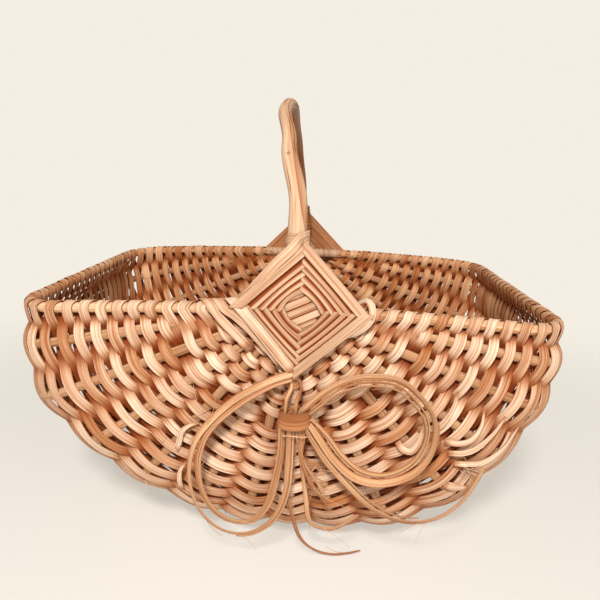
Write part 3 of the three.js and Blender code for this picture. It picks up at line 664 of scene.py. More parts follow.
def reed_finish(light, deep, recess, name, gloss, streaks, ridge, contrast, shade):
    """Split reed: long fibres in shallow grooves, slow bands of tone along each
    length and darker worn spots. Over these it paints shade: thin dark edges,
    a warm brown and then a deep brown where strips cover each other, and an
    orange shade on faces that look into the basket."""
    f = Finish(name)
    grain = f.attribute("grain", "Vector")
    tone = f.attribute("tone", "Fac")
    lie = f.attribute("lie", "Vector")
    edge, depth, inside = (f.part(lie, i) for i in range(3))
    edge_shade = f.between(edge, EDGE_SHADE_START, 1.0)
    warm_shade = f.between(depth, shade, shade + WARM_SHADE_RANGE)
    hollow_shade = f.between(depth, shade + HOLLOW_SHADE_START, HOLLOW_SHADE_FULL)
    fibres, bands, drift = (f.noise(grain, *row) for row in REED_NOISES.values())
    grooves, flecks, lines = (f.marks(grain, *row) for row in REED_MARKS.values())
    place = (tone - 0.5) * (0.5 * contrast) + (bands - 0.5) * (0.6 * contrast)
    place = place + (drift - 0.5) * contrast + (fibres - 0.5) * (0.9 * streaks) + 0.57
    base = ramp(f, place, [
        (0.0, tuple(c * 0.72 for c in deep)), (0.28, deep), (0.55, toned(light, deep, 0.48)),
        (0.86, light), (1.0, rgba(light, 1.08)[:3])])
    base = f.blend(grooves * (GROOVE_SHARE * streaks), base, GROOVE_TINT, "MULTIPLY")
    base = f.blend(lines * (GROOVE_SHARE * streaks), base, rgba(toned(light, deep, 0.7)))
    base = f.blend(flecks * 0.3, base, rgba(deep, 0.5))
    # Painted shade: a thin dark line along each strip's edges.
    base = f.blend(edge_shade * 0.55, base, rgba(deep, 0.8))
    # Painted shade: an orange shade on faces that look into the basket.
    base = f.blend(inside * INSIDE_SHADE_SHARE, base, INSIDE_SHADE_TINT, "MULTIPLY")
    # Painted shade: a warm brown, then the deep brown, where strips cover each other.
    base = f.blend(warm_shade * WARM_SHADE_SHARE, base, WARM_SHADE_TINT, "MULTIPLY")
    base = f.blend(hollow_shade * 0.93, base, rgba(recess))
    height = fibres * 0.6 + (1 - grooves) * 0.6 + (1 - lines) * 0.3
    return f.surface({
        "Base Color": base,
        "Roughness": 1.12 * gloss + (fibres - 0.5) * 0.3 - tone * 0.08,
        "Specular IOR Level": 0.14,
        "Normal": f.bump(height, ridge),
    })


# The handle's knot, and the crease on its front leg with its painted shade:
# place across at a height over the rim, slope, then the heights between
# which it fades in and out.
HANDLE_KNOT = (-11.2, -127, 323.5)
KNOT_FADE = (0.8, 2.7)
HANDLE_CREASE = (0.6, 81.3, -0.217)
CREASE_FADES = ((-34, -8), (62, 74))
FRONT_LEG_FADE = (-75, -50)


def wood_finish(light, deep, name):
    """Peeled stick: cream wood with lengthwise streaks, long cracks, stain in
    broad patches, small scars and one knot. Along a straight line of place
    across and height it paints one long dark crease on the front leg, with
    painted shade on its right, and it paints the far leg browner as shade."""
    f = Finish(name)
    grain = f.attribute("grain", "Vector")
    tone = f.attribute("tone", "Fac")
    fine, stain = (f.noise(grain, *row) for row in WOOD_NOISES.values())
    streaks, cracks, scars = (f.marks(grain, *row) for row in WOOD_MARKS.values())
    at = f.place()
    away = f.far(at, tuple(v * MM for v in HANDLE_KNOT))
    knot = 1 - f.between(away, *(v * MM for v in KNOT_FADE))
    across, level, slope = HANDLE_CREASE
    rise = f.part(at, 2) * (1 / MM) - (STANDING_DEPTH + level)
    beside = f.part(at, 0) * (1 / MM) - across - rise * slope
    front = 1 - f.between(f.part(at, 1), *(v * MM for v in FRONT_LEG_FADE))
    low, high = CREASE_FADES
    along = f.between(rise, *low) * (1 - f.between(rise, *high)) * front
    # Painted shade: brown to the right of the crease line, and a dark line along it; the bump cuts
    # the line in too.
    shadow = f.between(beside, -0.9, 0.0) * (1 - f.between(beside, 1.0, 5.6)) * along
    crease = f.between(beside, -0.9, -0.2) * (1 - f.between(beside, 0.1, 0.9)) * along
    place = (stain - 0.5) * 2.0 + (fine - 0.5) * 0.9 + 0.56
    base = ramp(f, place, [
        (0.0, toned(light, deep, 0.34)), (0.35, toned(light, deep, 0.18)), (0.7, light),
        (1.0, rgba(light, 1.06)[:3])])
    base = f.blend(streaks * 0.6, base, rgba(toned(light, deep, 0.66)))
    base = f.blend(cracks * 0.75, base, rgba(deep))
    base = f.blend(scars * 0.5, base, rgba(deep, 1.2))
    base = f.blend(knot * 0.85, base, rgba(deep))
    base = f.blend(shadow * SHADOW_SHARE, base, SHADOW_TINT, "MULTIPLY")
    base = f.blend(crease * 0.6, base, rgba(deep))
    # Painted shade on the far leg, by the handle's tone.
    base = f.blend(1 - tone, base, FAR_LEG_SHADE_TINT, "MULTIPLY")
    height = fine * 0.5 + (1 - cracks) * 0.9 + (1 - scars) * 0.3
    height = height + (1 - knot) * 1.5 + (1 - crease) * 1.2
    return f.surface({
        "Base Color": base,
        "Roughness": 0.56 + (fine - 0.5) * 0.25 + cracks * 0.2,
        "Specular IOR Level": 0.16,
        "Normal": f.bump(height, 0.00022),
    })


# Kinds of reed: name, gloss, strength of the streaks, height of the ridges,
# contrast, and the depth of cover from which the painted warm shade starts.
REEDS = {
    "weaver": ("weaver_reed", 0.6, 1.25, 0.00015, 1.0, 0.06),
    "rod": ("rod_reed", 0.56, 1.4, 0.0002, 1.0, 0.06),
    "eye": ("eye_reed", 0.5, 1.3, 0.00014, 0.8, 0.3),
    "bow": ("bow_reed", 0.46, 1.3, 0.00014, 1.0, 0.06),
    "cord": ("binding_cord", 0.6, 1.2, 0.0002, 1.0, 0.06),
}
DEEPER = (0.6, 0.46, 0.37)
MADE = {}


def finish(kind):
    """The material for a kind of reed or wood, made once."""
    if kind not in MADE:
        c = bpy.context.scene.trug_colours
        if kind == "handle":
            MADE[kind] = wood_finish(tuple(c.handle_light), tuple(c.handle_deep), "handle_wood")
        elif kind == "weaver":
            MADE[kind] = reed_finish(tuple(c.weaver_light), tuple(c.weaver_deep), tuple(c.recess),
                                     *REEDS[kind])
        else:
            light = tuple(getattr(c, kind))
            deep = tuple(a * b for a, b in zip(light, DEEPER))
            MADE[kind] = reed_finish(light, deep, tuple(c.recess), *REEDS[kind])
    return MADE[kind]


# Woven wall
SPAN_STEPS = 10
LOOP_STEPS = 7
SNUG = 0.12
EYE_MARGIN = -2.0

# Courses stray together, each a little for itself, and together again on one
# rod, with waves of so many courses. Near the eyes they stray less.
SHARED_WAVE = 5.0
OWN_STRAY = 0.55
ROD_WAVE = 9.0
CALM_NEAR_EYES = 0.3
MISSED_RIB_MARGIN = 3

# Strips lean away from the middle course, each by its own share and at each
# rod by its own angle, and the turns round the rim are more or less slack.
LEAN_GROWTH = 4
LEAN_SHARE = 0.25
LEAN_STRAY = math.radians(3.5)
LOOP_SLACK = 0.12

# Waves of the strip's width: share of the width and length. A new reed starts
# after each reed length. The way out of the basket is the place itself, with
# its height scaled and lifted so.
WIDTH_WAVES = ((0.09, 900), (0.08, 110))
REED_LENGTH = 1700
OUTWARD_SCALE = (1, 1, 0.8)
OUTWARD_LIFT = (0, 0, 40)


def eye_edge(theta):
    """Distance from an eye's centre to the straight edge of its diamond."""
    return EYE_HALF_DIAGONAL / (abs(math.cos(theta)) + abs(math.sin(theta)))


def span_places(values):
    """Even places between the rods: the rod before each and the share of the
    way from it to the next."""
    spans = values.shape[1] - 1
    v = np.linspace(0, spans, spans * SPAN_STEPS + 1)
    i = np.minimum(v.astype(int), spans - 1)
    return i, v - i


def between_lines(values):
    """Carries values given at the rods to even places between them: straight
    from rod to rod, with the corners rounded by a short running mean."""
    i, share = span_places(values)
    f = share[None, :, None]
    straight = values[:, i] * (1 - f) + values[:, i + 1] * f
    pad = SPAN_STEPS // 3
    before = 2 * straight[:, :1] - straight[:, pad:0:-1]
    after = 2 * straight[:, -1:] - straight[:, -2:-2 - pad:-1]
    padded = np.concatenate([before, straight, after], 1)
    size = straight.shape[1]
    return sum(padded[:, k:k + size] for k in range(2 * pad + 1)) / (2 * pad + 1)


def eased_lines(values):
    """Carries values given at the rods to even places between them along half
    a cosine wave from each rod to the next."""
    i, share = span_places(values)
    f = (0.5 - 0.5 * np.cos(math.pi * share))[None]
    return values[:, i] * (1 - f) + values[:, i + 1] * f


def crossings(settings, rng):
    """Where each course crosses each rod: place, direction of the rod, rod
    radius and the side that the strip passes on. Courses cut each rod into
    equal lengths. The ribs next to the rim start late, so the first and last
    courses miss them."""
    k = settings.courses
    lines = rod_lines()
    place = np.empty((k, len(lines), 3))
    heading = np.empty_like(place)
    radius = np.empty((k, len(lines)))
    near = np.empty((k, len(lines)))
    stray = settings.unevenness / MM
    course = np.arange(k, dtype=float)
    common = wander(rng, course, SHARED_WAVE) * stray
    calm = np.sin(math.pi * course / (k - 1)) ** CALM_NEAR_EYES
    for j, (side, theta, start) in enumerate(lines):
        whole = rod_spans(side, theta)[2]
        first = eye_edge(theta) + EYE_MARGIN
        jitter = common + stray * rng.uniform(-OWN_STRAY, OWN_STRAY, k)
        jitter = jitter + stray * wander(rng, course, ROD_WAVE)
        s = first + (whole - 2 * first) * course / (k - 1) + jitter * calm
        place[:, j] = rod_point(side, theta, s)
        heading[:, j] = unit(rod_point(side, theta, s + 1) - rod_point(side, theta, s - 1))
        near[:, j] = np.minimum(s, whole - s)
        radius[:, j] = rod_radius(theta, start, near[:, j])
    parity = (-1.0) ** course[:, None]
    last = len(lines) - 1
    over = parity * (-1.0) ** np.arange(last + 1)[None]
    for j, a, b in ((1, 0, 2), (last - 1, last, last - 2)):
        missed = near[:, j] < RIB_STARTS[0] + MISSED_RIB_MARGIN
        place[missed, j] = 0.5 * (place[missed, a] + place[missed, b])
        radius[missed, j] = 0
        over[missed, j] = 0
        if j == 1:
            over[missed, 2:last - 1] *= -1
    return place, heading, radius, over


def weaver_line(settings, rng):
    """Centre line of the whole weaver, as rows of one course and the turn round
    the rim after it. A course waves from one side of the wall to the other, by
    half a cosine from rod to rod, and each turn is half a circle over the rim."""
    place, heading, radius, over = crossings(settings, rng)
    k, rods = over.shape
    thick = settings.thickness / MM
    normal = unit(np.cross(heading, np.gradient(place, axis=1)))
    height = over * (radius + thick / 2 + SNUG)
    course_line = between_lines(place)
    course_normal = unit(between_lines(normal))
    course_heading = unit(between_lines(heading))
    ribs = np.ones((k, rods))
    ribs[:, [0, -1]] = 0
    lean = eased_lines(ribs)
    v = np.linspace(0, rods - 1, (rods - 1) * SPAN_STEPS + 1)
    waist = np.sin(math.pi * v) ** 2
    middle = np.linspace(-1, 1, k)[:, None]
    tilt = lean * mix(settings.crest_tilt, settings.span_tilt, waist)[None]
    tilt = -tilt * np.clip(middle * LEAN_GROWTH, -1, 1)
    tilt = tilt * (1 + LEAN_SHARE * rng.uniform(-1, 1, (k, 1)))
    tilt = tilt + lean * eased_lines(rng.normal(0, LEAN_STRAY, (k, rods)))
    lift = eased_lines(height)
    line = course_line + lift[..., None] * course_normal

    def loops(rows, column, up_sign):
        """Half circles over the rim, from each of some rows to the next."""
        f = (np.arange(LOOP_STEPS)[None, :, None] + 1) / (LOOP_STEPS + 1)
        a, b = rows, rows + 1
        base = mix(place[a, column][:, None], place[b, column][:, None], smooth(f))
        out = unit(mix(normal[a, column][:, None], normal[b, column][:, None], f))
        along = unit(mix(heading[a, column][:, None], heading[b, column][:, None], f))
        up = up_sign * np.cross(along, out)
        turn = math.pi * (f if up_sign < 0 else 1 - f)
        snug = RIM_ROD_RADIUS + thick / 2 + SNUG
        snug = snug * (1 + LOOP_SLACK * np.sin(turn) * rng.uniform(0, 1, (len(rows), 1, 1)) ** 3)
        return base + snug * (np.cos(turn) * out + np.sin(turn) * up), along

    def laid(values, sign=1):
        """Rows in the order of weaving, every second one from right to left,
        with room for the turn after each."""
        odd = slice(1, None, 2)
        values = np.array(values)
        values[odd] = sign * values[odd, ::-1].copy()
        return np.concatenate([values, np.zeros((k, LOOP_STEPS, *values.shape[2:]))], 1)

    rows = np.arange(k - 1)
    size = line.shape[1]
    whole, edge, outside = laid(line), laid(course_heading), laid(course_normal * lift[..., None])
    for start, column, up_sign in ((0, -1, -1), (1, 0, 1)):
        chosen = rows[rows % 2 == start]
        turned, along = loops(chosen, column, up_sign)
        whole[chosen, size:] = turned
        edge[chosen, size:] = along
        outside[chosen, size:] = turned - mix(place[chosen, column][:, None],
                                              place[chosen + 1, column][:, None], 0.5)
    return whole, edge, laid(tilt, -1), outside


WOVEN_PANELS = [f"woven_panel_{side}_{i}" for side in ("left", "right") for i in range(1, 8)]


class TRUG_OT_weave(bpy.types.Operator):
    """Laces one long flat weaver over and under the ribs, from rim to rim"""
    bl_idname = "trug.weave"
    bl_label = "Woven Wall"
    bl_options = {"REGISTER", "UNDO"}

    def execute(self, context):
        settings = context.scene.trug_weave
        rng = np.random.default_rng(settings.seed)
        rows, edge, tilt, outside = weaver_line(settings, rng)
        k, size, _ = rows.shape
        line, edge, outside = (part.reshape(-1, 3)[:-LOOP_STEPS] for part in (rows, edge, outside))
        tilt = tilt.reshape(-1)[:-LOOP_STEPS, None]
        along = slopes(line)
        flat = unit(edge - dot(edge, along) * along)
        face = np.cross(flat, along)
        edge = np.cos(tilt) * flat + np.sin(tilt) * face
        where = travelled(line)
        width = settings.width / MM * sum(
            (share * wander(rng, where, wave) for share, wave in WIDTH_WAVES), 1)
        tone = np.repeat(rng.uniform(0, 1, k), size)[:len(line)]
        spread = 2 * LOOP_STEPS + 1
        tone = np.convolve(np.pad(tone, LOOP_STEPS, mode="edge"), np.ones(spread) / spread, "valid")
        seed = np.floor(where / REED_LENGTH)
        rings, grain = strip_rings(line, edge, width, settings.thickness / MM, seed)
        rings[..., 2] = np.maximum(rings[..., 2], WEAVE_CLEARANCE - STANDING_DEPTH)
        # Painted shade: faces turned back towards a rib get more of it, and exposed faces less, the
        # further the strip lies out from the wall's middle; midway between ribs both faces get half.
        front = np.cross(edge, along)
        crown = np.sign(STRIP_CROWN)[None]
        faced = crown * np.sign(dot(front, outside))
        depth = np.linalg.norm(outside, axis=-1)[:, None] / RIB_RADIUS
        recess = 0.5 - 0.5 * np.clip(depth, 0, 1) * faced
        # Faces that look into the basket, which the finish paints with orange shade.
        outwards = line * OUTWARD_SCALE + OUTWARD_LIFT
        inside = (crown * dot(front, outwards) < 0).astype(float)
        for third, name in enumerate(("front", "middle", "back")):
            start, stop = third * k // 3 * size, (third + 1) * k // 3 * size + 1
            chosen = slice(start, min(stop, len(line)))
            batch = Batch()
            batch.add(rings[chosen], grain[chosen], tone[chosen], recess=recess[chosen],
                      inside=inside[chosen])
            throats = [f"woven_throat_{side}_{name}" for side in ("left", "right") if third != 1]
            batch.build(f"weave_{name}", finish("weaver"), "weaver_reed",
                        [*WOVEN_PANELS, *throats])
        return {"FINISHED"}


# Rods
ROD_STEP = 3.5
RIM_SIDES, RIM_ROUGHNESS = 20, 0.025
HANDLE_SIDES, HANDLE_ROUGHNESS = 32, 0.035
RIB_SIDES, RIB_ROUGHNESS = 16, 0.03
ARCH_STEPS = 150
KEEL_END = 6

# Painted shade: the handle's tone falls from the near leg to the far one,
# less so at the top.
NEAR_TONE, TONE_FALL = 0.92, 0.85
TONE_DEPTHS = (-70, 20)
TOP_GAP, TOP_FADE, TOP_SHARE = 6, 40, 0.35


class TRUG_OT_rods(bpy.types.Operator):
    """Bends the rim rod, the ribs and the keel, and the peeled handle over them"""
    bl_idname = "trug.rods"
    bl_label = "Rim, Ribs and Handle"
    bl_options = {"REGISTER", "UNDO"}

    def execute(self, context):
        rng = np.random.default_rng(5)
        self.rim(rng)
        self.handle(rng)
        for side, word in ((-1, "left"), (1, "right")):
            for order, (degrees, start) in enumerate(zip(RIB_ANGLES[side], RIB_STARTS)):
                self.rib(rng, side, math.radians(degrees), start, f"rib_{word}_{order + 1}")
        return {"FINISHED"}

    def rim(self, rng):
        """The rim's rod: right half from the front eye, then the left half back."""
        spans = [rod_spans(side, 0.0)[2] for side in (1, -1)]
        right = rod_point(1, 0.0, np.linspace(0, spans[0], int(spans[0] / ROD_STEP)))
        left = rod_point(-1, 0.0, np.linspace(0, spans[1], int(spans[1] / ROD_STEP)))[::-1]
        line = np.concatenate([right, left[1:-1]])
        batch = Batch()
        batch.add(*round_rings(line, UP, RIM_ROD_RADIUS, RIM_SIDES, 1, rng, RIM_ROUGHNESS, True),
                  0.5 + 0.4 * wander(rng, np.arange(len(line)), 60), closed=True)
        batch.build("rim_rod", finish("rod"), "rim_rod", ["rim_hoop"])

    def handle(self, rng):
        """The hoop: its arch from front to back, then the keel back again."""
        arch = arch_point(np.linspace(0, 1, ARCH_STEPS))
        whole = rod_spans(1, math.pi / 2)[2]
        s = np.linspace(KEEL_END, whole - KEEL_END, int(whole / ROD_STEP))
        line = np.concatenate([arch, rod_point(1, math.pi / 2, s)[::-1]])
        # Painted shade on the far leg, carried in the tone.
        under_top = smooth((HANDLE_HEIGHT - TOP_GAP - line[:, 2]) / TOP_FADE)
        tone = NEAR_TONE - TONE_FALL * fade(line[:, 1], *TONE_DEPTHS) * mix(TOP_SHARE, 1, under_top)
        batch = Batch()
        batch.add(*round_rings(line, np.array([1.0, 0, 0]), hoop_radius(line[:, 2]), HANDLE_SIDES,
                               3, rng, HANDLE_ROUGHNESS, True), tone, closed=True)
        batch.build("handle_and_keel", finish("handle"), "handle_rod", ["handle_and_keel_hoop"])

    def rib(self, rng, side, theta, start, name):
        """One rib, whittled to a tip at each end."""
        whole = rod_spans(side, theta)[2]
        s = np.linspace(start, whole - start, int((whole - 2 * start) / ROD_STEP))
        line = rod_point(side, theta, s)
        radius = rod_radius(theta, start, np.minimum(s, whole - s))
        radius = radius * (1 + 0.03 * wander(rng, s, 70))
        level = np.array([[math.sin(theta), 0, side * math.cos(theta)]])
        batch = Batch()
        batch.add(*round_rings(line, level, radius, RIB_SIDES, rng.uniform(0, 9), rng, RIB_ROUGHNESS),
                  rng.uniform(0.2, 0.8) + 0.2 * wander(rng, s, 90))
        batch.build(f"{name}_rod", finish("rod"), "rib_rod", [name])


# Lashed eyes: quarter reeds, of which the first few are left to the heart.
EYE_SEGMENTS = 24
EYE_FIRST = 3
EYE_INNER_WIDTH = 0.94
EYE_ROUNDS = (8.5, 12.9, 17.5, 22.4, 26.9, 30.9)
# How wide the painted shadow is that each round gets beside the next round's inner edge, on each of
# the four sides, in millimetres.
EYE_SHADES = (2.9, 2.3, 1.5, 1.9)
EYE_LEAN = math.radians(17)
EYE_SEATS = {-1: 157.0, 1: 158.9}
EYE_SHIFTS = {-1: (4.0, 2.4), 1: (BACK_EYE_SHIFT, 0)}
EYE_TURNS = {-1: math.radians(2.6), 1: 0.0}
EYE_ALONG = 15
FOLD_RADIUS = 1.4
FOLD_STEPS = 7
FOLD_DROP = 2.6
FOLD_FLATS = (0.25, 0.15)

# An eye's reeds: how unevenly they lie and how far the inner ones bow out, in
# millimetres; how far they stand out, the last round more, and by what power
# of the way out; how far each drops from its start to its end; and how the
# lean's share falls from the inner to the outer reeds.
EYE_UNEVEN = 0.45
EYE_BOW = 2.4
EYE_STAND, EYE_LAST_STAND, EYE_STAND_POWER = 1.6, 1.0, 2.2
EYE_DROP = 0.3
EYE_LEAN_SHARES = (1.05, 0.72)

# Short reeds of the heart: place beside its middle and half length.
HEART_SLANT = math.radians(28)
HEART_WIDTH = 6.1
HEART = ((-12.3, 8), (-6.3, 12), (0.0, 13), (6.3, 12), (12.3, 8))

# The reed's turns round the four arms.
ARM_START = 9
ARM_REACH = 46
ARM_PITCH = 5.3
ARM_WIDTH = 5.9
ARM_THICKNESS = 0.9
LEG_START = 8
BACK_LEG_REACH = 25
WOUND_STEPS = 22
WOUND_SNUG = 0.1
WOUND_WAVE = 1.7


def eye_place(sign, x, z, h):
    """Puts a place on an eye, across, up and out from its seat, in the part.
    The eye is turned a little and sits a little off the crossing."""
    x, z, h = np.broadcast_arrays(x, z, h)
    turn = EYE_TURNS[sign]
    across = x * math.cos(turn) + z * math.sin(turn) + EYE_SHIFTS[sign][0]
    up = z * math.cos(turn) - x * math.sin(turn) + EYE_SHIFTS[sign][1]
    return np.stack([across, sign * (EYE_SEATS[sign] + h), up], -1)


def from_seat(places):
    """Places given as across, out from the front eye's seat and up."""
    return np.array(places, float) * (1, -1, 1) - (0, EYE_SEATS[-1], 0)


def eye_segment(order, settings, sign, rng):
    """One reed from arm to arm of the eye, as a function of the place along it
    and across it. Between the arms it is straight, its ends cut along the
    arms' lines; past each arm it keeps level for a little and then turns down
    behind by a quarter circle. It leans so that its inner edge lies over the
    round before, and it leaves an arm over the reed that arrived there."""
    thick = settings.thickness / MM
    last = order >= EYE_SEGMENTS - 4
    middle = settings.spread / MM if last else np.interp(order / 4, range(6), EYE_ROUNDS)
    outer = order / (EYE_SEGMENTS - 1)
    width = settings.width / MM * (1 if last else EYE_INNER_WIDTH)
    across = (STRIP_ACROSS * width / 2 * (1 + 0.05 * rng.uniform(-1, 1)))[None, :]
    run = np.linspace(-1, 1, EYE_ALONG)
    turn = np.linspace(0, math.pi / 2, FOLD_STEPS)[1:]
    level = np.array([0.5, 1.0])

    def fold(flat):
        """How far past an arm and how far behind a reed's end goes, by steps."""
        past = np.concatenate([level * flat, flat + FOLD_RADIUS * np.sin(turn),
                               [flat + FOLD_RADIUS]])
        drop = np.concatenate([0 * level, FOLD_RADIUS * (1 - np.cos(turn)),
                               [FOLD_RADIUS + FOLD_DROP]])
        return past, drop

    (start_past, start_drop), (end_past, end_drop) = (fold(flat) for flat in FOLD_FLATS)
    sigma = np.pad(run, len(start_past), mode="edge")[:, None]
    past = np.concatenate([-start_past[::-1], 0 * run, end_past])[:, None]
    drop = np.concatenate([start_drop[::-1], 0 * run, end_drop])[:, None]
    bow = (EYE_BOW * (1 - outer) + EYE_UNEVEN * rng.uniform(-1, 1)) * (1 - sigma ** 2)
    out = middle + EYE_UNEVEN * rng.uniform(-1, 1) * min(1, 4 * (1 - outer))
    ahead = sigma * (out + across) + math.sqrt(2) * past
    height = EYE_STAND + settings.rise / MM * outer ** EYE_STAND_POWER
    height = height + (EYE_LAST_STAND if last else 0.0)
    lean = mix(*EYE_LEAN_SHARES, outer)
    height = height - across * math.sin(EYE_LEAN) * lean * rng.uniform(0.85, 1.15)
    height = height - EYE_DROP * sigma - drop
    away = out + bow + across * math.cos(EYE_LEAN)
    bearing = math.radians(135 - 90 * order)
    x = away * math.cos(bearing) + ahead * math.sin(bearing)
    z = away * math.sin(bearing) - ahead * math.cos(bearing)
    middle_face = eye_place(sign, x, z, height)
    along = unit(np.gradient(middle_face, axis=0))
    side = unit(middle_face[:, FAR_EDGE:FAR_EDGE + 1] - middle_face[:, :1])
    face = unit(np.cross(along, side)) * sign
    rings = middle_face + STRIP_CROWN[None, :, None] * thick / 2 * face
    where = ahead + past * 0.4
    seed = np.full(where.shape, rng.uniform(0, 50)) * STRIP_SEED_STEP
    grain = np.stack([where, np.broadcast_to(across, where.shape), seed], -1)
    # Painted shadow on the outer part of each inner round, beside the next round's raised inner edge;
    # the last round gets almost none, and the back eye half as much.
    shaded = EYE_SHADES[order % 4]
    recess = 0.08 if last else np.clip(1 + (across - 0.3) / shaded + 0 * where, 0.06, 1)
    recess = recess * (0.5 if sign > 0 else 1)
    return rings, grain, recess


def wound(batch, centre, radius, start, stop, pitch, width, thick, rng, lean=0.0):
    """Winds a flat reed round a rod: a spiral at the rod's radius, one pitch
    along for each turn, with the reed's width along the rod."""
    times = abs(stop - start) / pitch
    t = np.linspace(0, times, int(times * WOUND_STEPS) + 1)
    s = start + (stop - start) * t / times
    place = centre(s)
    along = unit(centre(s + 0.5) - centre(s - 0.5))
    level = UP if abs(along[0, 2]) < 0.7 else -FORWARD
    u = unit(np.cross(along, level))
    v = np.cross(along, u)
    turn = 2 * math.pi * t[:, None]
    spoke = np.cos(turn) * u + np.sin(turn) * v
    line = place + (radius(s)[:, None] + thick / 2 + WOUND_SNUG) * spoke
    edge = along + lean * np.cross(spoke, along)
    batch.add(*strip_rings(line, edge, width, thick, rng.uniform(0, 50)),
              0.5 + 0.4 * wander(rng, t, WOUND_WAVE))


class TRUG_OT_eyes(bpy.types.Operator):
    """Lashes the four-armed eyes where the hoops cross, front and back"""
    bl_idname = "trug.eyes"
    bl_label = "Lashed Eyes"
    bl_options = {"REGISTER", "UNDO"}

    def execute(self, context):
        settings = context.scene.trug_eyes
        for sign, name in ((-1, "front"), (1, "back")):
            rng = np.random.default_rng(21 + sign)
            batch = Batch()
            for order in range(EYE_FIRST, EYE_SEGMENTS - (1 if sign < 0 else 0)):
                rings, grain, recess = eye_segment(order, settings, sign, rng)
                # The back eye, seen from inside the basket, gets a lower tone and the inside shade:
                # painted shade.
                tone = rng.uniform(0.3, 0.9) if sign < 0 else rng.uniform(0, 0.35)
                batch.add(rings, grain, tone, recess=recess, inside=0.5 + 0.5 * sign)
            self.heart(batch, sign, settings, rng)
            self.arms(batch, sign, rng)
            batch.build(f"eye_{name}", finish("eye"), "eye_reed", [f"gods_eye_{name}"])
        return {"FINISHED"}

    def heart(self, batch, sign, settings, rng):
        """Short reeds side by side over the crossing."""
        along = np.array([math.cos(HEART_SLANT), math.sin(HEART_SLANT)])
        beside = np.array([-along[1], along[0]])
        edge = np.array([beside[0], 0, beside[1]])
        shaded = 0.1 + 0.75 * fade(np.abs(STRIP_ACROSS), 0.62, 1)[None]
        for place, half in HEART:
            run = np.linspace(-half, half, 9)
            x, z = (run * along[i] + place * beside[i] for i in (0, 1))
            line = eye_place(sign, x, z, 0.5 + 0.5 * np.cos(run / 9) - 0.08 * abs(place))
            batch.add(*strip_rings(line, edge, HEART_WIDTH, settings.thickness / MM,
                                   rng.uniform(0, 50)), rng.uniform(0.5, 0.9), recess=shaded)

    def arms(self, batch, sign, rng):
        """The reed's turns behind the four arms, as seen from inside."""
        back = sign > 0

        def arm(side, theta, radius):
            """One arm of the eye, wound round its rod."""
            whole = rod_spans(side, theta)[2]
            wound(batch, lambda s: rod_point(side, theta, whole - s if back else s), radius,
                  ARM_START, ARM_REACH, ARM_PITCH, ARM_WIDTH, ARM_THICKNESS, rng)

        for side in (-1, 1):
            arm(side, 0.0, lambda s: np.full(s.shape, float(RIM_ROD_RADIUS)))
        arm(1, math.pi / 2, lambda s: hoop_radius(-s))
        wound(batch, lambda z: leg_point(sign, z), hoop_radius, LEG_START,
              BACK_LEG_REACH if back else ARM_REACH, ARM_PITCH, ARM_WIDTH, ARM_THICKNESS, rng)


# Bindings
CORD_TURNS = 8
CORD_PITCH = 3.3
CORD_START = 28
CORD_RADIUS = 1.6
CORD_STEPS = 28
CORD_SIDES = 10
CORD_PRESSED = 0.85

# The wrap of the front foot: places up the eye's left side, as across, out from
# the eye's seat and up, then its height at some angles round the leg.
WRAP_RISE = ((-40.4, 0.6, 8.4), (-35.6, 2.2, 13.4), (-23.7, 3.6, 27.4), (-14.1, 4.4, 38.6),
             (-8.2, 4.6, 44.4), (-3.6, 3.6, 49))
WRAP_LEVELS = ((22, 54.2), (50, 55.8), (90, 56.8), (130, 57.4), (200, 56), (250, 52), (300, 47),
               (350, 42))

# The wrap's width, its gap to the leg and how much further out it lies over
# its own start, between these angles in radians. Then the heights between which
# it turns from the eye's face to the leg, and the short turns below it: from
# and to which height, pitch, width, thickness and lean.
WRAP_WIDTH = 0.96
WRAP_GAP = 0.7
WRAP_OVER = 1.1
WRAP_TURN = (45, 54)
SHORT_TURNS = (45, 57, 4.2, 6.4, 0.9)
SHORT_TURNS_LEAN = 0.4


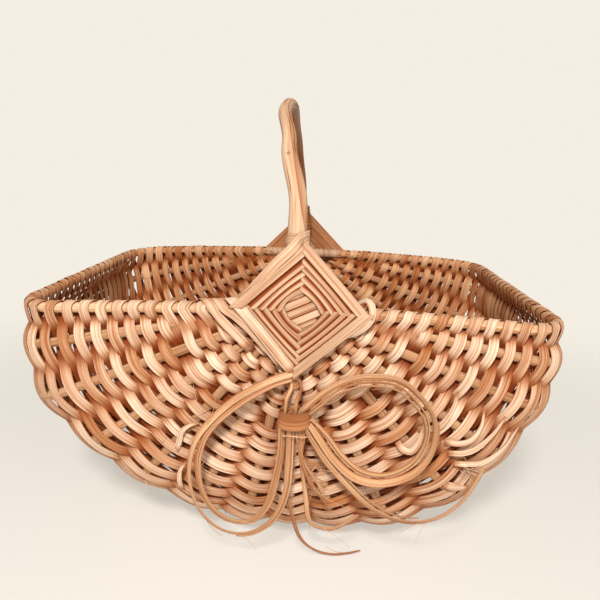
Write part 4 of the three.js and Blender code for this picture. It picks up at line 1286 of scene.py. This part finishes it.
class TRUG_OT_bindings(bpy.types.Operator):
    """Winds the cord on the back foot and the reed that ends the front eye"""
    bl_idname = "trug.bindings"
    bl_label = "Foot Bindings"
    bl_options = {"REGISTER", "UNDO"}

    def execute(self, context):
        rng = np.random.default_rng(8)
        self.cord(rng)
        self.foot(rng, context.scene.trug_eyes)
        return {"FINISHED"}

    def cord(self, rng):
        """A round cord in a close spiral up the leg."""
        t = np.linspace(0, CORD_TURNS, CORD_TURNS * CORD_STEPS + 1)
        centre, across, out = leg_frame(1, CORD_START + CORD_PITCH * t)
        turn = 2 * math.pi * t[:, None]
        spoke = np.cos(turn) * across + np.sin(turn) * out
        line = centre + (hoop_radius(centre[:, 2])[:, None] + CORD_RADIUS * CORD_PRESSED) * spoke
        batch = Batch()
        batch.add(*round_rings(line, UP, CORD_RADIUS, CORD_SIDES, 2),
                  0.5 + 0.4 * wander(rng, t, 0.8))
        batch.build("back_foot_cord", finish("cord"), "binding_cord", ["back_foot_binding"])

    def foot(self, rng, settings):
        """The eye's last reed: up its left side, then round the leg and under
        itself, with short turns below it."""
        width, thick = settings.width / MM, settings.thickness / MM
        phi = np.radians(np.linspace(24, 350, 40))
        rise = np.interp(np.degrees(phi), *np.array(WRAP_LEVELS).T)
        centre, across, out = leg_frame(-1, rise)
        over = WRAP_OVER * smooth((phi - 0.3) / 0.8) * smooth((3.6 - phi) / 1.6)
        away = hoop_radius(rise) + WRAP_GAP + over
        spoke = np.sin(phi)[:, None] * across + np.cos(phi)[:, None] * out
        leg_line = centre + away[:, None] * spoke
        line = flowing(np.concatenate([from_seat(WRAP_RISE), leg_line[::3]]), 6)
        turn = fade(line[:, 2:], *WRAP_TURN)
        turn[np.argmax(line[:, 2]):] = 1
        round_leg = unit((line - leg_point(-1, np.clip(line[:, 2], 1, None))) * (1, 1, 0.2))
        away = mix(np.array([-0.1, -1.0, 0.1]), round_leg, turn)
        edge = np.cross(slopes(line), away)
        batch = Batch()
        batch.add(*strip_rings(line, edge, width * WRAP_WIDTH, thick, 7.3), 0.7)
        wound(batch, lambda z: leg_point(-1, z), hoop_radius, *SHORT_TURNS, rng, SHORT_TURNS_LEAN)
        batch.build("front_foot_reed", finish("eye"), "eye_reed", ["front_foot_wrap"])


# Weaver's turns beside the front eye: width, tone, and places as across, out
# from the eye's seat and up.
SIDE_REEDS = (
    (8.4, 0.8, ((-0.5, 2.4, -44.4), (-4.3, 3.8, -39.8), (-9, 5.0, -34), (-14, 5.4, -27.7),
                (-21, 5.6, -19.2), (-28.4, 5.5, -10.1), (-35, 5.0, -2.8), (-40.7, 3.6, 3.4),
                (-45.2, 0.6, 6.8), (-48.6, -3.2, 8), (-51.2, -7, 7.4), (-53.4, -11, 3.6),
                (-55, -12.6, -3))),
    (7.4, 0.5, ((-9.4, 0.6, -40), (-17.2, 1.2, -30.6), (-24.8, 1.6, -22.4), (-35.2, 1.8, -11.4),
                 (-45.4, 1.4, -3.4), (-53, 0.2, 1.6), (-57.5, -3, 6), (-61, -7, 6.6),
                 (-63.5, -10.8, 3.4), (-65.5, -12.5, -3))),
    (7.2, 0.7, ((-35, 0.2, -27.5), (-41, 0.9, -21), (-46.5, 1.2, -15.6), (-52.3, 1.0, -10),
                (-58.5, 0.6, -3.4), (-63, -1.2, 2.4), (-67, -4.6, 5.7), (-70, -8.4, 5.6),
                (-72.5, -11.6, 2.2), (-74, -12.6, -4))),
)
CORNER_REED = ((44, -11, 3), (48.5, -8, 8.6), (53, -4, 10.8), (55.9, -0.4, 8), (56.6, 1.8, 1),
               (53.6, 2.8, -5.2), (47.2, 2.6, -10.9), (40, 1.4, -14.2), (33, -0.5, -15))
CORNER_MIDDLE = (46, -153, 0)
CORNER_WIDTH = 6.3

# Heights between which a side reed turns from the eye's face to the rim, and
# how far from its ends it comes out from under the weave, over which length
# its painted shade fades out.
RIM_TURN = (-10, -1)
BURIED = 9


class TRUG_OT_side_reeds(bpy.types.Operator):
    """Lays the turns of reed that show at the front eye's left and right corners"""
    bl_idname = "trug.side_reeds"
    bl_label = "Reeds Beside the Eye"
    bl_options = {"REGISTER", "UNDO"}

    def execute(self, context):
        settings = context.scene.trug_weave
        batch = Batch()
        for order, (width, tone, places) in enumerate(SIDE_REEDS):
            line = flowing(from_seat(places), 8)
            rim = line * (0, 1, 1) + (0, RIM_HALF_DEPTH, 0)
            away = mix(FORWARD, unit(rim), fade(line[:, 2:], *RIM_TURN))
            self.ribbon(batch, line, away, width, settings, order, tone)
        line = flowing(from_seat(CORNER_REED), 8)
        away = unit(unit(line - CORNER_MIDDLE) + FORWARD)
        self.ribbon(batch, line, away, CORNER_WIDTH, settings, 5, 0.85)
        batch.build("weave_beside_eye", finish("weaver"), "weaver_reed", [])
        return {"FINISHED"}

    @staticmethod
    def ribbon(batch, line, away, width, settings, seed, tone):
        """A flat reed whose face looks away from the wall, with painted shade on
        its back face and towards its ends, where it runs under the weave.
        """
        edge = np.cross(slopes(line), away)
        rings, grain = strip_rings(line, edge, width, settings.thickness / MM, seed + 3)
        where = travelled(line)
        # Painted shade on the face turned to the wall, and towards the ends.
        buried = np.minimum(where, where[-1] - where)[:, None]
        facing = ((rings - line[:, None]) * away[:, None]).sum(-1) < 0
        recess = np.where(facing, 0.75, 0.05 + 0.5 * smooth((BURIED - buried) / BURIED))
        batch.add(rings, grain, tone, recess=recess)


# Loose reed ends low on the front: side, width, tone, and places as the angle
# under the rim, the distance along the rib there and how far off its middle.
LOOSE_ENDS = (
    (1, 4.6, 0.8, ((42, 131, 2), (36.5, 139.6, 5.8), (31.5, 139.6, 7.4), (27.5, 138.1, 7.2),
                   (23, 136, 4.6))),
    (1, 4.4, 0.75, ((38.3, 151, 5.2), (36.6, 159, 6.8), (33.4, 164.6, 8), (29, 164.6, 8),
                    (24, 159.8, 6))),
    (1, 4.2, 0.9, ((40.5, 161, 4.6), (37.4, 168, 6.8), (34.5, 171.5, 7.8), (28.5, 173.8, 8.6),
                   (22.8, 174.6, 8))),
    (1, 4.2, 0.85, ((41.5, 170, 4.2), (39.5, 175.4, 6), (36.3, 183.9, 7.4), (30.5, 188.6, 8),
                    (23.5, 187.8, 7.4))),
    (1, 5.2, 0.9, ((49.8, 128, 5.4), (50, 134, 7.2), (48.4, 139.6, 8), (44.6, 138.1, 8),
                   (37.8, 129.5, 5.6))),
    (1, 6.4, 0.6, ((47.5, 180, 3.4), (46.2, 187, 4.6), (45, 193.5, 4.6), (44, 199.5, 4.2))),
    (-1, 5.0, 0.8, ((52, 148, 4), (50.5, 138, 6.4), (49, 130, 8), (49.5, 122, 8.6),
                    (51.5, 116, 7))),
    (-1, 4.4, 0.7, ((60, 176, 4), (58, 166, 6.8), (56.5, 157, 8), (56.5, 149, 8))),
)

# Where a loose end starts to taper, and its width at the tip, as shares.
LOOSE_TAPER_START = 0.35
LOOSE_TIP = 0.42

# The frayed end's middle, as angle and distance along, how far its fibres are
# spread from there, and how many fibres it and the rest of the wall have.
FRAY_MIDDLE = (40, 181)
FRAY_SPREAD = (2.2, 7)
FRAY_COUNT = 16
WEAVE_FIBRES = 18
FRAY_HEADING = np.array([0.7, -0.25, -0.1])

# A hair's sides, its steps and its gap to the table, a direction that it never
# runs along, and the least share by which it points away from the wall.
FIBRE_SIDES = 5
FIBRE_STEPS = 9
FIBRE_TABLE_GAP = 0.6
FIBRE_LEVEL = np.array([0.31, 0.9, 0.23])
LEAST_AWAY = 0.15


def wall_place(side, degrees, s, off):
    """A place off the wall: the point of a rib at an angle under the rim and a
    distance along it, moved out along the wall's normal, and that normal."""
    theta = math.radians(degrees)
    near = rod_point(side, theta, np.array([s - 1.0, s, s + 1.0]))
    below = rod_point(side, theta + 0.01, np.array([float(s)]))[0]
    normal = unit(np.cross(below - near[1], near[2] - near[0])) * side
    return near[1] + off * normal, normal


def fibre(batch, start, heading, bend, long, rng):
    """A stray hair: straight along its heading, bent by the square of the way
    along it, tapering, and lifted where it would pass through the table."""
    t = np.linspace(0, 1, FIBRE_STEPS)[:, None]
    line = start + long * (heading * t + bend * t ** 2)
    line[:, 2] = np.maximum(line[:, 2], FIBRE_TABLE_GAP - STANDING_DEPTH + 0.4 * t[:, 0])
    radius = rng.uniform(0.2, 0.34) * (1 - 0.6 * t[:, 0])
    batch.add(*round_rings(line, FIBRE_LEVEL, radius, FIBRE_SIDES, rng.uniform(0, 9)), 0.8,
              recess=0.04)


class TRUG_OT_loose_ends(bpy.types.Operator):
    """Lifts a few reed ends, a frayed end and stray fibres off the lower wall"""
    bl_idname = "trug.loose_ends"
    bl_label = "Loose Ends"
    bl_options = {"REGISTER", "UNDO"}

    def execute(self, context):
        settings = context.scene.trug_weave
        rng = np.random.default_rng(43)
        batch = Batch()
        for order, (side, width, tone, places) in enumerate(LOOSE_ENDS):
            line, normal = (flowing(row, 8) for row in zip(*(wall_place(side, *p) for p in places)))
            taper = mix(1.0, LOOSE_TIP, fade(share_along(line), LOOSE_TAPER_START, 1))
            away = unit(normal + (0, 0, 0.5))
            TRUG_OT_side_reeds.ribbon(batch, line, away, width * taper, settings, order + 11, tone)
        for _ in range(FRAY_COUNT):
            below, along = FRAY_MIDDLE + rng.uniform(-1, 1, 2) * FRAY_SPREAD
            start, normal = wall_place(1, below, along, 4.5)
            heading = unit(FRAY_HEADING + normal * 0.25 + rng.uniform(-0.5, 0.5, 3))
            fibre(batch, start, heading, rng.uniform(-0.3, 0.3, 3), rng.uniform(5, 13), rng)
        for _ in range(WEAVE_FIBRES):
            side = rng.choice([-1, 1])
            start, normal = wall_place(side, rng.uniform(38, 84), rng.uniform(50, 230), 5)
            heading = unit(normal * 0.3 + rng.uniform(-1, 1, 3))
            heading = heading + normal * max(0, LEAST_AWAY - float((heading * normal).sum()))
            fibre(batch, start, heading, rng.uniform(-0.4, 0.4, 3), rng.uniform(6, 17), rng)
        batch.build("weave_loose_ends", finish("weaver"), "weaver_reed", [])
        return {"FINISHED"}


# Bow
KNOT = np.array([2.5, -167.5, -78.5])
KNOT_HALF = (11.4, 6.2)
KNOT_SQUARED = 0.7
KNOT_THICKNESS = 1.1
KNOT_STEPS = 56

# Turns of the knot: height, width, growth and sag. Then the tie under it.
KNOT_TURNS = ((2.9, 7.6, 0.0, 1.2), (-2.6, 6.8, 0.55, 1.9))
TIE = ((-9, 5.5, -12.5), (-2, 6.8, -11.7), (6, 6.2, -12.4), (10.5, 3.5, -13.2))
SPLIT_ENDS = 6

# Strands: name, node, width, leans along it, and places from the knot's middle
# as across, out from the basket and up.
STRANDS = (
    ("bow_neck_left", 0.52, (60, 75, 40, 60),
     ((-4.5, -10.8, 27), (-3.5, -8.5, 21), (-6.5, -2, 14), (-7, 0, 7.2), (-7, 0.3, 0))),
    ("bow_neck_right", 0.46, (60, 30, 80, 60),
     ((2, -10.8, 27), (4, -8.5, 21), (1.5, -2, 14), (1, 0, 7.2), (1, 0.3, 0))),
    ("bow_loop_left_outer", 0.86, (66, 64, 56, 44, 42, 48, 52, 46, 40, 34),
     ((-2.5, -8.2, 32.4), (-14, -5.6, 29), (-27, -2, 23.6), (-45.5, 1, 12.6), (-62, 2.5, -3.3),
      (-74.5, 2.5, -21.5),
      (-79.5, 2.5, -41.5), (-78.5, 2.5, -62.5), (-70.5, 2.5, -82.5), (-56.5, 2.5, -95.5),
      (-40.5, 2.5, -99.5), (-26.5, 2.5, -95.5), (-13.5, 2.5, -83.5), (-5.5, 2.5, -62.5),
      (-3.5, 2.5, -39.5), (-3.3, 2.5, -7.2), (-3.3, 2, 0))),
    ("bow_loop_left_inner", 0.96, (60, 58, 56, 56, 58, 60, 58, 52, 42, 34),
     ((-3.5, -8.5, 28.4), (-12.5, -6, 26), (-24, -2, 21.4), (-40.5, 1, 11), (-56.3, 2.5, -2.8),
      (-66.8, 3.4, -17), (-72, 3.8, -34), (-72.4, 3.8, -48), (-69.8, 3.6, -62), (-62.8, 3, -76.5),
      (-52, 2.5, -85.8), (-40, 2.5, -88.8), (-28.5, 2.5, -85.6), (-19, 2.5, -73),
      (-12.8, 2.5, -49), (-9.6, 2.5, -26), (-9.4, 2.5, -7.2), (-8.4, 2, 0))),
    ("bow_loop_right_outer", 1.0, (60, 66, 66, 40, 22, 34, 50, 46, 40),
     ((4, 1.5, 3), (8, 2.5, 9.2), (20.5, 2.5, 21.5), (37.5, 2.5, 32.5), (56.5, 2.5, 36.5),
      (76.5, 2.5, 34.5), (92.5, 2.5, 22.5), (103.5, 2.5, 6.5), (105.5, 2.5, -10.5),
      (100.5, 2.5, -28.5), (88.5, 2.5, -41.5), (68.5, 2.5, -48.5), (48.5, 2.5, -45.5),
      (31.5, 2.5, -31.5), (19, 2.5, -14), (12.2, 2.5, -4), (8, 2, 0))),
    ("bow_loop_right_inner", 0.5, (50, 40, 30, 22, 30, 44, 40),
     ((7, 2, 2), (12.2, 2.5, 5), (26, 2.5, 17.5), (40, 2.5, 26), (57, 2.5, 29.5), (74, 2.5, 27.5),
      (87, 2.5, 17.5), (96.5, 2.5, 4.5), (98.5, 2.5, -10), (93.5, 2.5, -25), (83.5, 2.5, -35.5),
      (68, 2.5, -41.5), (51.5, 2.5, -38.5), (37, 2.5, -26.5), (24, 2.5, -10), (12.2, 2.5, 0.5),
      (8, 2, 0))),
    ("bow_tail_right", 0.84, (44, 66, 62, 56, 54, 50, 46),
     ((6, 2, -2), (8.5, 2.5, -7.2), (24.5, 2.5, -32.5), (42, 2, -52), (60.5, 1, -70),
      (80, 0.5, -80), (98, 0, -82), (115, -1, -77), (130, -3, -65.5), (141, -5, -49),
      (148, -7, -33))),
    ("bow_tail_short", 0.5, (30, 50, 60, 40),
     ((2, 2, -2), (2.7, 2.5, -7.2), (7, 2.5, -34.5), (15.5, 1, -54.5), (24.5, -1, -67.5),
      (28.5, -2, -73.5))),
    ("bow_tail_under", 0.62, (30, 30, 60, 70, 50),
     ((3, -3, -2), (3, -4, -7.2), (6, -5, -36.5), (10.5, -6.5, -66), (15.5, -8, -92.5),
      (25.5, -10, -98.5), (33.5, -10, -98.5), (42.5, -10, -93.5), (53.5, -10, -84.5))),
    ("bow_tail_front", 0.74, (28, 32, 38, 46, 50, 50),
     ((-6, -2, -2), (-7, -3.5, -7.2), (-6, -4.5, -36), (-4.5, -5, -63.5), (0.5, -4, -83.5),
      (8, -7.5, -107), (20, -13, -121), (34, -15.5, -125.9), (47, -18, -125.8), (58, -22, -125.3))),
)

BROWN_STRANDS = ("bow_tail_short", "bow_tail_front", "bow_neck_right")

# Thinner reeds that run beside a strand: strand, sideways, out, width, share of
# the strand's length from and to.
COMPANIONS = (
    ("bow_loop_left_outer", 3.0, -1.6, 0.3, 0.62, 1.0),
    ("bow_loop_left_inner", 2.4, -1.4, 0.34, 0.5, 1.0),
    ("bow_loop_right_outer", 4.6, -1.2, 0.24, 0.03, 0.97),
    ("bow_loop_right_outer", -2.6, -1.8, 0.36, 0.45, 1.0),
    ("bow_tail_right", -3.0, -1.2, 0.3, 0.0, 0.62),
)

# A thin split of reed that crosses from one strand of the left loop to the other.
SPLIT = ((-6, -8, 26), (-16.7, -4, 22.5), (-36.7, -0.5, 10.2), (-54.8, 1.5, -3), (-66, 2, -14),
         (-75, 2, -28))

# The shade level of plain strands, and the higher level of the strands
# listed as brown, which makes them darker and browner; then the first
# strand with hairs, after the two necks.
STRAND_SHADE = 0.06
BROWN_SHADE = 0.4
FIRST_WITH_HAIRS = 2


def from_knot(places):
    """Places given as across, out and up from the knot's middle."""
    return KNOT + np.array(places, float) * (1, -1, 1)


class TRUG_OT_bow(bpy.types.Operator):
    """Ties the loose reed bow under the front eye"""
    bl_idname = "trug.bow"
    bl_label = "Reed Bow"
    bl_options = {"REGISTER", "UNDO"}

    def execute(self, context):
        settings = context.scene.trug_bow
        rng = np.random.default_rng(31)
        batches = {}
        for name, width, leans, places in STRANDS:
            batch = batches[name] = Batch()
            line, edge = self.strand(places, leans)
            shade = BROWN_SHADE if name in BROWN_STRANDS else STRAND_SHADE
            self.ribbon(batch, line, edge, settings, width, rng, shade)
            for owner, side, out, narrow, start, stop in COMPANIONS:
                if owner == name:
                    part = slice(int(start * len(line)), int(stop * len(line)))
                    beside = line + side * self.inwards(line) + out * FORWARD
                    self.ribbon(batch, beside[part], edge[part], settings, narrow, rng)
        line, edge = self.strand(SPLIT, (50, 50))
        self.ribbon(batches["bow_loop_left_inner"], line, edge, settings, 0.2, rng)
        self.frayed(batches["bow_tail_short"], settings, rng)
        self.fibres(settings)
        for name, batch in batches.items():
            batch.build(f"{name}_reed", finish("bow"), "bow_reed", [name])
        self.knot(rng)
        return {"FINISHED"}

    @staticmethod
    def inwards(line):
        """Square to the line in the bow's own upright plane."""
        along = slopes(line)
        return unit(np.stack([along[:, 2], 0 * along[:, 0], -along[:, 0]], -1))

    def strand(self, places, leans):
        """Centre line of a strand and the way that its width lies: turned from
        the bow's plane by the strand's lean at that place."""
        line = flowing(from_knot(places), 8)
        share = share_along(line)
        lean = np.radians(np.interp(share, np.linspace(0, 1, len(leans)), leans))[:, None]
        face = np.cos(lean) * self.inwards(line) + np.sin(lean) * FORWARD
        return line, np.cross(slopes(line), face)

    def ribbon(self, batch, line, edge, settings, width, rng, shade=STRAND_SHADE):
        """One reed of the bow, narrowed at its ends and uneven in width."""
        where = travelled(line)
        taper = np.minimum(smooth(where / 6 + 0.55), smooth((where[-1] - where) / 9 + 0.25))
        wide = settings.width / MM * width * taper * (1 + 0.08 * wander(rng, where, 40))
        rings, grain = strip_rings(line, edge, wide, settings.thickness / MM, rng.uniform(0, 50))
        # Painted shade on the faces that look towards the basket.
        away = (rings - line[:, None])[..., 1] > 0.1
        batch.add(rings, grain, rng.uniform(0.3, 0.8) + 0.2 * wander(rng, where, 60),
                  recess=np.where(away, 0.5, shade))

    def fibres(self, settings):
        """Stray hairs that leave the strands at small angles."""
        rng = np.random.default_rng(67)
        batch = Batch()
        for _ in range(settings.fibres):
            _, _, leans, places = STRANDS[rng.integers(FIRST_WITH_HAIRS, len(STRANDS))]
            line, _ = self.strand(places, leans)
            i = rng.integers(len(line) // 8, len(line) - 2)
            heading = unit(slopes(line)[i] * rng.choice([-1, 1]) + rng.uniform(-0.3, 0.3, 3))
            bend = rng.uniform(-0.5, 0.5, 3) * (1, 0.5, 1)
            fibre(batch, line[i] + (0, -0.6, 0), heading, bend, rng.uniform(9, 34), rng)
        batch.build("bow_fibres", finish("bow"), "bow_reed", [])

    def frayed(self, batch, settings, rng):
        """Split ends that spread from under the knot towards lower right."""
        for i in range(SPLIT_ENDS):
            spread = rng.uniform(-5, 6)
            stop = rng.uniform(0.5, 1.0)
            line = flowing(from_knot((
                (2 + 0.8 * i, 1, -2), (3 + i, 2 - 0.4 * i, -16), (7 + spread * 0.4, 1, -36),
                (15 + spread, -1, -56 * (0.6 + 0.4 * stop)), (21 + spread, -2, -72 * stop))), 6)
            edge = np.cross(slopes(line), self.inwards(line) * 0.5 + 0.9 * FORWARD)
            self.ribbon(batch, line, edge, settings, rng.uniform(0.12, 0.34), rng)

    def knot(self, rng):
        """Two turns of reed round a flattened oval, their lower edges drawn
        down in the middle, and a thin tie under them."""
        batch = Batch()
        turn = turns(KNOT_STEPS)
        edge = np.array([0.05, 0, 1.0])
        for level, wide, grow, sag in KNOT_TURNS:
            x, out = ((half + grow) * np.sign(f) * np.abs(f) ** KNOT_SQUARED
                      for half, f in zip(KNOT_HALF, (np.cos(turn), np.sin(turn))))
            z = level - sag * (1 - (x / KNOT_HALF[0]) ** 2) + 0.05 * x
            line = from_knot(np.stack([x, out, z], -1))
            batch.add(*strip_rings(line, edge, wide, KNOT_THICKNESS, rng.uniform(0, 50), True),
                      0.1, closed=True, recess=0.42)
        batch.add(*round_rings(flowing(from_knot(TIE), 6), UP, 0.5, 6, 4), 0.7)
        batch.build("bow_knot_band", finish("bow"), "bow_reed", ["bow_knot"])


# Stage
CAMERA_PLACE = (20.28, -587.28, 317.6)
CAMERA_YAW = -0.0400
CAMERA_PITCH = 0.2283
CAMERA_ROLL = 0.0368
CAMERA_LENS = 36
CAMERA_SENSOR = 36
CAMERA_CLIP = (0.01, 60)
FLOOR_DROP = 0.2
FLOOR_RINGS = 8
FLOOR_SIDES = 48
SKY_TINT = (1, 0.87, 0.72)

# Lamps, in metres: place, size and tint, and the place that they look at.
LAMPS = {"key": ((-0.1, -1.26, 1.22), 0.3, (1.0, 0.955, 0.9)),
         "fill": ((1.0, -1.3, 0.7), 1.0, (1.0, 0.94, 0.86))}
LAMP_AIM = Vector((0, 0, 0.12))


class TRUG_OT_stage(bpy.types.Operator):
    """Lays the floor, sets the lamps and the camera"""
    bl_idname = "trug.stage"
    bl_label = "Floor, Lamps and Camera"
    bl_options = {"REGISTER", "UNDO"}

    def execute(self, context):
        scene = context.scene
        settings = scene.trug_stage
        scene.view_settings.view_transform = "Standard"
        self.camera(scene)
        self.floor(scene, settings)
        self.sky(scene, settings)
        for name, lamp in LAMPS.items():
            self.lamp(scene, name, getattr(settings, name), *lamp)
        return {"FINISHED"}

    def camera(self, scene):
        """Looks along the fitted yaw and pitch, rolled about that line."""
        yaw, pitch, roll = CAMERA_YAW, CAMERA_PITCH, CAMERA_ROLL
        ahead = Vector((math.sin(yaw) * math.cos(pitch), math.cos(yaw) * math.cos(pitch),
                        -math.sin(pitch)))
        right = Vector((math.cos(yaw), -math.sin(yaw), 0))
        up = right.cross(ahead)
        turned_right = right * math.cos(roll) + up * math.sin(roll)
        turned_up = up * math.cos(roll) - right * math.sin(roll)
        data = bpy.data.cameras.new("camera")
        data.lens = CAMERA_LENS
        data.sensor_width = CAMERA_SENSOR
        data.clip_start, data.clip_end = CAMERA_CLIP
        camera = bpy.data.objects.new("camera", data)
        scene.collection.objects.link(camera)
        basis = Matrix((turned_right, turned_up, -ahead)).transposed().to_4x4()
        camera.matrix_world = Matrix.Translation(Vector(CAMERA_PLACE) * MM) @ basis
        scene.camera = camera

    def floor(self, scene, settings):
        """A wide flat disc, from a grid of radius and turn."""
        radius = np.linspace(0.4, 9, FLOOR_RINGS)[:, None]
        turn = turns(FLOOR_SIDES)[None]
        ring = np.stack([radius * np.cos(turn), radius * np.sin(turn), 0 * radius * turn], -1)
        points = ring.reshape(-1, 3) - (0, 0, FLOOR_DROP * MM)
        faces = skin_faces(FLOOR_RINGS, FLOOR_SIDES, False)[:, ::-1].tolist()
        faces.append(list(range(FLOOR_SIDES)))
        mesh = bpy.data.meshes.new("floor")
        mesh.from_pydata(points.tolist(), [], faces)
        f = Finish("floor")
        at = f.place()
        mottle = f.noise(at, (9, 9, 9), 3)
        base = f.blend(mottle * 0.25, rgba(settings.floor), rgba(settings.floor, 0.96))
        top = f.node("ShaderNodeBsdfPrincipled", None, {
            "Base Color": base, "Roughness": 0.62, "Specular IOR Level": 0.25})
        far = f.node("ShaderNodeVectorMath", {"operation": "LENGTH"}, {0: at}, "Value")
        haze = f.node("ShaderNodeEmission", None, {"Color": rgba(settings.backdrop), "Strength": 1.0})
        hazy = (f.between(far, 0.26, 0.85) * 0.45 + 0.55) * f.seen()
        mixed = f.node("ShaderNodeMixShader", None, {0: hazy, 1: top, 2: haze})
        f.node("ShaderNodeOutputMaterial", None, {"Surface": mixed})
        mesh.materials.append(f.material)
        floor = bpy.data.objects.new("floor", mesh)
        scene.collection.objects.link(floor)

    def sky(self, scene, settings):
        """Even light all round, seen as near white behind the basket."""
        world = bpy.data.worlds.new("sky")
        f = Finish("sky", world)
        light = f.node("ShaderNodeBackground", None, {
            "Color": rgba(SKY_TINT), "Strength": settings.sky})
        backdrop = f.node("ShaderNodeBackground", None, {
            "Color": rgba(settings.backdrop), "Strength": 1.0})
        choose = f.node("ShaderNodeMixShader", None, {0: f.seen(), 1: light, 2: backdrop})
        f.node("ShaderNodeOutputWorld", None, {"Surface": choose})
        scene.world = world

    def lamp(self, scene, name, power, place, size, tint):
        """A round lamp that looks at the basket."""
        data = bpy.data.lights.new(name, "AREA")
        data.shape = "DISK"
        data.size = size
        data.energy = power
        data.color = tint
        lamp = bpy.data.objects.new(name, data)
        scene.collection.objects.link(lamp)
        turn = (LAMP_AIM - Vector(place)).to_track_quat("-Z", "Y").to_matrix().to_4x4()
        lamp.matrix_world = Matrix.Translation(place) @ turn


# Panel
OPERATORS = (TRUG_OT_stage, TRUG_OT_rods, TRUG_OT_weave, TRUG_OT_eyes, TRUG_OT_bindings,
             TRUG_OT_side_reeds, TRUG_OT_loose_ends, TRUG_OT_bow)


class TRUG_PT_panel(bpy.types.Panel):
    """Lists the steps that make the trug, and their settings"""
    bl_idname = "TRUG_PT_panel"
    bl_label = "Garden Trug"
    bl_space_type = "VIEW_3D"
    bl_region_type = "UI"
    bl_category = "Trug"

    def draw(self, context):
        for operator in OPERATORS:
            self.layout.operator(operator.bl_idname)
        for attribute in GROUPS:
            group = getattr(context.scene, attribute)
            box = self.layout.box()
            for key in group.bl_rna.properties.keys():
                if key not in ("rna_type", "name"):
                    box.prop(group, key)


def register():
    """Makes the classes and the scene's settings known to Blender."""
    for cls in (*GROUPS.values(), *OPERATORS, TRUG_PT_panel):
        bpy.utils.register_class(cls)
    for attribute, cls in GROUPS.items():
        setattr(bpy.types.Scene, attribute, bpy.props.PointerProperty(type=cls))


def unregister():
    """Takes them away again, in the opposite order."""
    for attribute in GROUPS:
        delattr(bpy.types.Scene, attribute)
    for cls in (TRUG_PT_panel, *reversed(OPERATORS), *reversed(list(GROUPS.values()))):
        bpy.utils.unregister_class(cls)


def main():
    """Makes every piece."""
    register()
    for operator in OPERATORS:
        group, name = operator.bl_idname.split(".")
        getattr(getattr(bpy.ops, group), name)()


if __name__ == "__main__":
    main()
